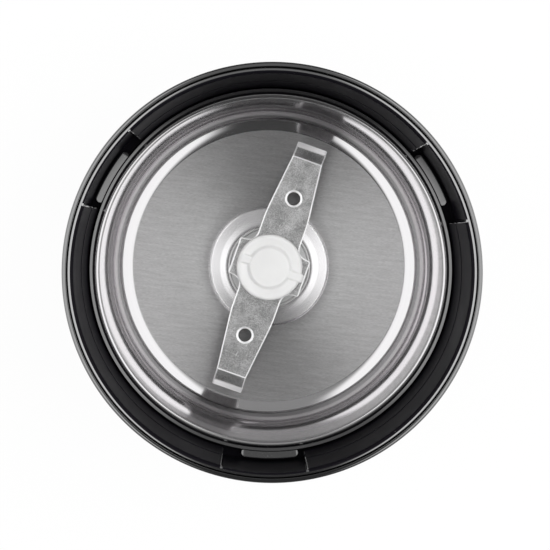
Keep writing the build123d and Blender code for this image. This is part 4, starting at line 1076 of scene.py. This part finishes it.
@dataclass
class Well:
    """The liner of the well: lip, wall with three pockets, bayonet channels, shelf, floor and pillars."""

    rim_height: float = 148.0
    outer: float = 49.8
    mouth: float = 48.3
    throat: float = 46.5
    throat_level: float = 128.5
    channel_bottom: float = 125.3
    ridge_level: float = 137.0
    ridge: float = 0.14
    pocket: float = 48.6
    pockets: Triple = (15.3, 135.3, 255.3)
    pocket_sweep: float = 24.4
    channel_lead: float = 21.8
    shelf: float = 116.0
    inner: float = 44.6
    shell: float = 46.6
    floor: float = 77.8
    under: float = 75.3
    shoulder: Pair = (48.3, 123.0)
    lip_round: float = 0.7
    lip_outer: float = 0.8
    edge: float = 0.42
    dam: Triple = (12.5, 14.0, 2.6)
    hole: float = 7.0
    pillars: Four = (28.99, 4.5, 1.77, 14.0)
    posts: Four = (30.0, 4.0, 1.77, 68.3)

    def wall_radius(self, level: np.ndarray) -> np.ndarray:
        """Radius of the plain wall: straight from throat to mouth, with a fine ridge across it.

        Args:
            level: heights.

        Returns:
            One radius for each height.
        """
        share = (level - self.throat_level) / (self.rim_height - self.throat_level)
        plain = self.throat + (self.mouth - self.throat) * np.clip(share, 0, 1)
        return plain - self.ridge * (1 - rise(level, self.ridge_level - 0.25, self.ridge_level + 0.05))

    def inside(self, angles: np.ndarray) -> np.ndarray:
        """Profile of the inner face at each angle.

        The radius is the plain wall's where the pocket mask is 0 and the pocket's where it is 1; below
        the ledge the channel mask does the same.

        Args:
            angles: degrees, one for each row.

        Returns:
            Points (r, z) of shape (rows, columns, 2).
        """
        top, ridge, throat, floor = self.rim_height, self.ridge_level, self.throat, self.floor
        lip = softened(
            [
                (self.outer - self.lip_outer, top, 0.0),
                (self.mouth, top - 0.12, self.lip_round),
                (self.wall_radius(top - 3.0), top - 3.0, 0.0),
            ],
            steps=9,
        )
        runs = (
            (top - 4.0, ridge + 0.5, 8), (ridge + 0.1, ridge - 0.3, 5),
            (ridge - 1.0, self.throat_level + 0.25, 10),
        )
        levels = np.concatenate([np.linspace(*run) for run in runs])
        upper = np.vstack([lip, np.column_stack([self.wall_radius(levels), levels])])
        pocket = np.zeros(len(angles))
        channel = np.zeros(len(angles))
        for start in self.pockets:
            away = (angles - start + 120) % 360 - 120
            pocket = np.maximum(pocket, window(away, 0, self.pocket_sweep, self.edge))
            channel = np.maximum(channel, window(away, -self.channel_lead, self.pocket_sweep, self.edge))
        wall_r = upper[None, :, 0] + np.maximum(self.pocket - upper[:, 0], 0)[None, :] * pocket[:, None]
        low = throat + (self.pocket - throat) * np.maximum(channel, pocket)
        ledge = throat - self.ridge + (self.pocket - throat + self.ridge) * pocket
        tail_r = np.stack([ledge, low, low, np.full(len(angles), throat)], axis=1)
        tail_z = np.repeat([self.throat_level, self.channel_bottom], 2)
        near, far, height = self.dam
        rest = softened(
            [
                (throat, self.channel_bottom - 0.6, 0.0), (throat, self.shelf, 0.3),
                (self.inner, self.shelf, 0.3), (self.inner, floor, 1.2), (far, floor, 0.6),
                (far, floor + height, 0.4), (near, floor + height, 0.4), (near, floor, 0.3),
                (self.hole, floor, 0.2), (self.hole, self.under, 0.0),
            ]
        )
        rest_r = np.broadcast_to(rest[:, 0], (len(angles), len(rest)))
        r = np.concatenate([wall_r, tail_r, rest_r], axis=1)
        z = np.concatenate([upper[:, 1], tail_z, rest[:, 1]])
        return np.stack([r, np.broadcast_to(z, r.shape)], axis=-1)

    def outside(self) -> np.ndarray:
        """Profile of the outer face, from the floor's hole round to the lip.

        Returns:
            Points (r, z).
        """
        radius, level = self.shoulder
        return softened(
            [
                (self.hole, self.under, 0.0), (self.shell, self.under, 0.8),
                (self.shell, self.shelf - 2.0, 0.1), (radius, self.shelf - 2.0, 0.2),
                (radius, level, 0.1), (self.outer, level, 0.1),
                (self.outer, self.rim_height, self.lip_outer),
                (self.outer - self.lip_outer, self.rim_height, 0.0),
            ]
        )

    def build(self) -> Piece:
        """The liner as one piece, with its hollow pillars and posts standing under the floor.

        Returns:
            The liner.
        """
        edges = [a + s for a in self.pockets for s in (0.0, self.pocket_sweep, -self.channel_lead)]
        angles = sector_angles(edges, self.edge * 1.6)
        outside = self.outside()
        outside = np.broadcast_to(outside, (len(angles), *outside.shape))
        section = np.concatenate([self.inside(angles), outside], axis=1)
        r, z = section[..., 0], section[..., 1]
        sides = [a + s for a in self.pockets for s in (-self.edge / 2, self.pocket_sweep + self.edge / 2)]
        beside_edge = apart(angles[:, None], np.array(sides)).min(axis=1) < self.edge * 0.9
        polished = (r > self.outer - 0.62) & (z > self.rim_height - 0.9)
        polished |= beside_edge[:, None] & (z > self.throat_level) & (r < self.outer - 0.8)
        shell = Shell()
        shell.patch(turned(section, np.radians(angles)), True, True, polished.astype(int))
        reach, *pillar = self.pillars
        for x, y in ((reach, reach), (-reach, reach), (-reach, -reach), (reach, -reach)):
            shell.patch(self.post(x, y, *pillar), True)
        circle, *post = self.posts
        for angle in np.radians([90, 210, 330]):
            shell.patch(self.post(circle * np.cos(angle), circle * np.sin(angle), *post), True)
        return shell.build("well_liner_skin", [Look.WELL.material(), Look.LIP.material()])

    def post(self, x: float, y: float, radius: float, bore: float, foot: float) -> np.ndarray:
        """A hollow post under the floor: a turned profile moved to (x, y).

        Args:
            x: where its axis stands along X.
            y: where it stands along Y.
            radius: outer radius.
            bore: radius of its hollow.
            foot: height of its lower end.

        Returns:
            Points of shape (rows, columns, 3).
        """
        top = self.under + 0.2
        deep = min(foot + 10.0, top - 0.5)
        corners = [
            (0, top, 0), (radius, top, 0), (radius, foot, 0.3),
            (bore, foot, 0.2), (bore, deep, 0), (0, deep, 0),
        ]
        return turned(softened(corners), full_turn(36)) + np.array([x, y, 0.0])


@dataclass
class Bowl:
    """The pressed steel bowl: boss with two steps, brushed floor, rounded corner, wall and rolled rim.

    Boss and side are corners (radius, height, setback); the boss's heights are above the floor.
    """

    sheet: float = 0.5
    floor: float = 95.7
    hole: float = 6.02
    boss: Corners = (
        (11.6, 3.9, 0.35), (13.2, 3.68, 0.3), (15.5, 3.46, 0.06), (16.05, 3.3, 0.04), (16.3, 0.0, 0.08),
    )
    side: Corners = (
        (37.5, 95.7, 1.3), (39.7, 96.75, 0.25), (41.0, 99.3, 0.4), (41.5, 100.0, 0.25), (42.1, 105.2, 0.6),
        (43.5, 129.25, 0.4), (44.3, 129.4, 0.3), (45.0, 129.25, 0.45), (45.0, 127.0, 0.0),
    )
    rows: int = 288
    crease: float = 40.0

    def build(self) -> Piece:
        """The bowl as a closed sheet: the inner line, and the same line moved out by its thickness.

        Returns:
            The bowl.
        """
        boss = [(r, self.floor + h, setback) for r, h, setback in self.boss]
        corners = [(self.hole, self.floor + self.boss[0][1], 0.0), *boss, *self.side]
        inner = divided(softened(corners, steps=9), 1.5)
        outer = beside(inner, self.sheet)
        angles = full_turn(self.rows)
        brushed = (inner[:, 0] > self.boss[-1][0] + 0.05) & (inner[:, 0] < self.side[0][0] + 0.1)
        brushed &= inner[:, 1] < self.floor + 0.05
        first, last = np.flatnonzero(brushed)[[0, -1]]
        shell = Shell()
        shell.patch(turned(inner[: first + 1], angles), True, zone=2)
        shell.patch(turned(inner[first : last + 1], angles), True, zone=1)
        middle = (inner[last:-1, 0] + inner[last + 1 :, 0]) / 2
        wall = (middle > self.side[2][0] - 0.3) & (middle < self.side[5][0] - 0.1)
        shell.patch(turned(inner[last:], angles), True, zone=np.where(wall, 0, 3)[None, :])
        shell.patch(turned(np.vstack([inner[-1:], outer[::-1], inner[:1]]), angles), True)
        finishes = [look.material() for look in (Look.WALL, Look.FLOOR, Look.BOSS, Look.CORNER)]
        return shell.build("grinding_bowl_skin", finishes, self.crease)


@dataclass
class Collar:
    """The black collar moulded round the bowl, with three lugs that lock under the ledge."""

    inner: float = 45.02
    radius: float = 46.0
    low_inner: float = 44.35
    top: float = 128.7
    bottom: float = 118.0
    step: float = 127.6
    lug_radius: float = 48.0
    lug_bottom: float = 125.6
    lug_top: float = 128.2
    lugs: Triple = (29.5, 149.5, 269.5)
    lug_sweep: float = 18.0
    lug_end: float = 1.3
    crease: float = 50.0

    def build(self) -> Piece:
        """A closed profile carried round the axis; the outer radius swells where a lug is.

        The swell is sqrt(1 - (1 - d)^2) of the lug's reach, with d the distance from the lug's end over
        its rounded end, so that the ends are quarter rounds.

        Returns:
            The collar.
        """
        ends = [a + s * self.lug_sweep / 2 for a in self.lugs for s in (-1, 1)]
        angles = sector_angles(ends, self.lug_end * 1.2, fine=22)
        away = apart(angles[:, None], np.array(self.lugs)).min(axis=1)
        share = np.clip((self.lug_sweep / 2 - away) / self.lug_end, 0, 1)
        reach = (self.lug_radius - self.radius) * np.sqrt(1 - (1 - share) ** 2)
        radius, top, low, high = self.radius, self.top, self.lug_bottom, self.lug_top
        ring = softened(
            [
                (self.inner, top - 0.22, 0.08), (radius - 0.12, top, 0.1),
                (radius, top - 0.12, 0.1), (radius, high + 0.1, 0),
            ]
        )
        lug = softened([(0, high - 0.25, 0), (1, high + 0.2, 0.22), (1, low, 0.22), (0, low, 0)])
        below = softened(
            [
                (radius, low - 0.1, 0), (radius, self.bottom, 0.4), (self.low_inner, self.bottom, 0.3),
                (self.low_inner, self.step, 0), (self.inner, self.step, 0),
            ]
        )
        swollen = radius + reach[:, None] * lug[:, 0]
        plain = [np.broadcast_to(part[:, 0], (len(angles), len(part))) for part in (ring, below)]
        r = np.concatenate([plain[0], swollen, plain[1]], axis=1)
        z = np.broadcast_to(np.concatenate([ring[:, 1], lug[:, 1], below[:, 1]]), r.shape)
        shell = Shell().patch(turned(np.stack([r, z], axis=-1), np.radians(angles)), True, True)
        return shell.build("bowl_collar_skin", [Look.COLLAR.material()], self.crease)


@dataclass
class Blade:
    """The stamped blade: two arms that narrow towards turned-up tips, square ears and round holes."""

    angle: float = 70.3
    bottom: float = 101.3
    thickness: float = 1.6
    root: float = 5.95
    waist: float = 14.0
    tip: float = 4.1
    bend: float = 30.0
    bend_radius: float = 2.2
    bend_turn: float = 60.0
    length: float = 36.9
    # Span past the bend, in millimetres, of the painted highlight along the bend.
    bend_highlight_span: Pair = (0.1, 1.5)
    ear: Pair = (5.0, 9.95)
    notch: float = 2.6
    chamfer: float = 0.34
    chamfer_slope: float = 0.3
    hole_reach: float = 19.4
    hole_radius: float = 1.8
    hole_chamfer: Pair = (0.55, 0.14)
    crease: float = 11.0

    def outline(self) -> np.ndarray:
        """Half of the outline, as (along, half width) from one tip to the other.

        Returns:
            Points of shape (count, 2).
        """
        ear, reach = self.ear
        half = [
            (self.length, 0.0, 0.0), (self.length, self.tip, 0.5), (self.bend, self.tip + 0.05, 0.5),
            (self.waist, self.root, 2.0), (ear + 0.45, self.root, self.notch), (ear, reach, 0.5),
        ]
        return softened(half + [(-x, y, s) for x, y, s in half[::-1]], steps=9)

    def bent(self, along: np.ndarray, height: np.ndarray) -> tuple[np.ndarray, np.ndarray]:
        """Place of a point on the bent plate.

        The middle line runs straight to the bend, turns up on an arc of the bend's radius and runs
        straight on; a point lies on the line's normal at its height above the lower face.

        Args:
            along: distance from the axis, measured on the flat plate.
            height: height above the lower face.

        Returns:
            Distance from the axis and level.
        """
        side, distance = np.sign(along), np.abs(along)
        most = math.radians(self.bend_turn)
        turn = np.clip((distance - self.bend) / self.bend_radius, 0, most)
        past = np.maximum(distance - self.bend - self.bend_radius * most, 0)
        inner = self.bend_radius - height
        reach = np.minimum(distance, self.bend) + inner * np.sin(turn) + past * np.cos(turn)
        level = self.bend_radius - inner * np.cos(turn) + past * np.sin(turn)
        return side * reach, self.bottom + level

    def place(self, along: np.ndarray, across: np.ndarray, height: np.ndarray | float) -> np.ndarray:
        """Places points of the flat plate on the bent plate at the blade's angle.

        Args:
            along: distance from the axis on the flat plate.
            across: distance from the plate's middle line.
            height: height above the lower face.

        Returns:
            Points with a last axis of x, y, z.
        """
        turn = math.radians(self.angle)
        reach, level = self.bent(along, np.broadcast_to(height, along.shape))
        x = reach * math.cos(turn) - across * math.sin(turn)
        y = reach * math.sin(turn) + across * math.cos(turn)
        return np.stack([x, y, level], axis=-1)

    def skin(self) -> Shell:
        """Top, underside and edge of the plate: rails along the outline joined straight across.

        Returns:
            The shell, with the edge and a strip of the top past the bend, lighter as a painted highlight, as
            its second finish.
        """
        line = divided(self.outline(), 0.25)
        inset = beside(line, -self.chamfer)
        inset[:, 1] = np.maximum(inset[:, 1], 0)
        inset[[0, -1], 1] = 0.0
        line[[0, -1], 1] = 0.0
        drop = self.chamfer * self.chamfer_slope
        levels = [0.0, drop, self.thickness - drop, self.thickness]
        rails = np.stack([inset, line, line, inset], axis=1)
        shell = Shell()
        across = np.linspace(-1, 1, 15)
        # The top face from 0.1 to 1.5 mm past the bend takes the lighter edge steel: a painted highlight
        # along the bend.
        past = np.abs(inset[1:, :1] + inset[:-1, :1]) / 2 - self.bend
        bend_highlight_zone = ((past > self.bend_highlight_span[0]) & (past < self.bend_highlight_span[1])).astype(int)
        for level, zone in ((levels[0], 0), (levels[-1], bend_highlight_zone)):
            along = np.broadcast_to(inset[:, :1], (len(inset), len(across)))
            shell.patch(self.place(along, inset[:, 1:] * across[None, :], level), zone=zone)
        for side in (-1, 1):
            shell.patch(self.place(rails[..., 0], side * rails[..., 1], np.array(levels)), zone=1)
        return shell

    def hole_cutter(self, side: int) -> Piece:
        """A turned plug that is wider at both faces of the plate, so that the hole gets a chamfer.

        Args:
            side: -1 or 1, for the arm.

        Returns:
            The plug.
        """
        across, depth = self.hole_chamfer
        narrow, above = self.hole_radius, 0.5
        wide = narrow + across * (1 + above / depth)
        low, high = self.bottom, self.bottom + self.thickness
        half = [(0.0, high + above), (wide, high + above), (narrow, high - depth)]
        profile = np.array(half + [(r, low + high - z) for r, z in half[::-1]])
        turn = math.radians(self.angle)
        middle = side * self.hole_reach * np.array([math.cos(turn), math.sin(turn), 0.0])
        shell = Shell().patch(turned(profile, full_turn(48)) + middle, True, zone=1)
        return shell.build(f"hole_cutter_{side}", self.finishes())

    @staticmethod
    def finishes() -> list[Material]:
        """The tumbled face and the edge."""
        return [Look.BLADE.material(), Look.EDGE.material()]

    def build(self) -> Piece:
        """The blade with its two holes cut.

        Returns:
            The blade.
        """
        blade = self.skin().build("blade_skin", self.finishes(), self.crease)
        for side in (-1, 1):
            blade = carve(blade, self.hole_cutter(side), self.crease)
        return blade


@dataclass
class Washer:
    """The stepped washer under the blade."""

    bore: float = 3.02
    radius: float = 11.0
    groove: float = 10.35
    bottom: float = 100.5
    top: float = 101.3
    rows: int = 160
    crease: float = 40.0

    def build(self) -> Piece:
        """A turned ring with rounded edges and a fine groove near its edge.

        Returns:
            The washer.
        """
        top = self.top
        corners = [
            (self.bore, top, 0.05), (self.groove - 0.12, top, 0.05), (self.groove, top - 0.3, 0.05),
            (self.groove + 0.12, top - 0.02, 0.05), (self.radius, top - 0.04, 0.22),
            (self.radius, self.bottom, 0.15), (self.bore, self.bottom, 0.05),
        ]
        shell = Shell().patch(turned(softened(corners, closed=True), full_turn(self.rows)), True, True)
        return shell.build("blade_washer_skin", [Look.WASHER.material()], self.crease)


@dataclass
class HubCap:
    """The white cap on the shaft: a rounded ring, a raised disc and two short ribs."""

    angle: float = 70.3
    bottom: float = 102.9
    radius: float = 8.85
    top: float = 105.37
    round: float = 0.9
    disc: float = 5.45
    disc_rise: float = 0.55
    rib_rise: float = 0.25
    hollow: float = 0.4
    rib_half: float = 1.2
    rib_reach: float = 0.7
    bore: float = 3.02
    bore_depth: float = 1.45
    rows: int = 256
    crease: float = 60.0

    def build(self) -> Piece:
        """A height over radius and angle.

        The height is the ring's, less a hollow that is deepest beside the disc, plus the disc; on a rib
        the hollow is filled. The radius of the rim grows where the longer rib passes it.

        Returns:
            The cap.
        """
        angles = full_turn(self.rows)
        ribs = np.radians(self.angle - 90)
        shares = (np.linspace(0, 0.48, 6)[:-1], np.linspace(0.48, 0.78, 16), np.linspace(0.8, 1, 16))
        r, a = np.meshgrid(np.concatenate(shares) * self.radius, angles, indexing="xy")
        ahead, aside = r * np.cos(a - ribs), np.abs(r * np.sin(a - ribs))
        rib = 1 - rise(aside, self.rib_half - 0.35, self.rib_half + 0.15)
        disc = 1 - rise(r, self.disc - 0.6, self.disc + 0.5)
        dip = rise(r, self.disc - 0.3, self.disc + 0.6) * (1 - rise(r, self.disc + 0.6, self.radius - 0.9))
        raised = self.rib_rise * rib * (1 - rise(r, self.radius - 1.6, self.radius - 0.5))
        height = self.top - self.hollow * dip * (1 - rib) + np.maximum(self.disc_rise * disc, raised)
        past = np.clip((r - (self.radius - self.round)) / self.round, 0, 1)
        height = height - self.round * (1 - np.sqrt(1 - past**2))
        swell = self.rib_reach * rib[:, -1] * (ahead[:, -1] > 0)
        grow = 1 + (swell / self.radius)[:, None] * rise(r, self.radius - 2.0, self.radius - 0.6)
        top = np.stack([r * grow * np.cos(a), r * grow * np.sin(a), height], axis=-1)
        edge = self.radius + swell
        levels = np.array([self.top - self.round, self.bottom + 0.25, self.bottom])
        radii = np.stack([edge, edge, edge - 0.2], axis=1)
        skirt = turned(np.stack([radii, np.broadcast_to(levels, radii.shape)], axis=-1), angles)
        deep = self.bottom + self.bore_depth
        below = turned(np.array([(self.bore, self.bottom), (self.bore, deep), (0.0, deep)]), angles)
        shell = Shell().patch(np.concatenate([top, skirt[:, 1:], below], axis=1), True)
        return shell.build("hub_cap_skin", [Look.CAP.material()], self.crease)


def place_piece(piece: Piece, body: str, slot: str, *nodes: str) -> None:
    """Puts a piece on its body in place of its nodes.

    Args:
        piece: the piece.
        body: the body that it rides on.
        slot: not used.
        nodes: the nodes that it replaces.
    """
    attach(piece, body)
    if nodes:
        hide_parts(*nodes)
    log.info("%s: %d faces, rides on %s", piece.name, len(piece.data.polygons), body)


def main() -> None:
    """Builds the grinder and its studio."""
    dress_nodes()
    place_piece(Casing().build(), "base", "gloss_black", "outer_casing")
    place_piece(Well().build(), "base", "gloss_black", "well_liner")
    place_piece(Bowl().build(), "bowl", "bowl_steel", "grinding_bowl")
    place_piece(Collar().build(), "bowl", "collar_black", "bowl_collar")
    place_piece(Blade().build(), "blade", "blade_steel", "blade")
    place_piece(Washer().build(), "blade", "blade_steel", "blade_washer")
    place_piece(HubCap().build(), "blade", "white_plastic", "hub_cap")
    Studio().build()


if __name__ == "__main__":
    logging.basicConfig(level=logging.INFO, format="%(message)s")
    main()
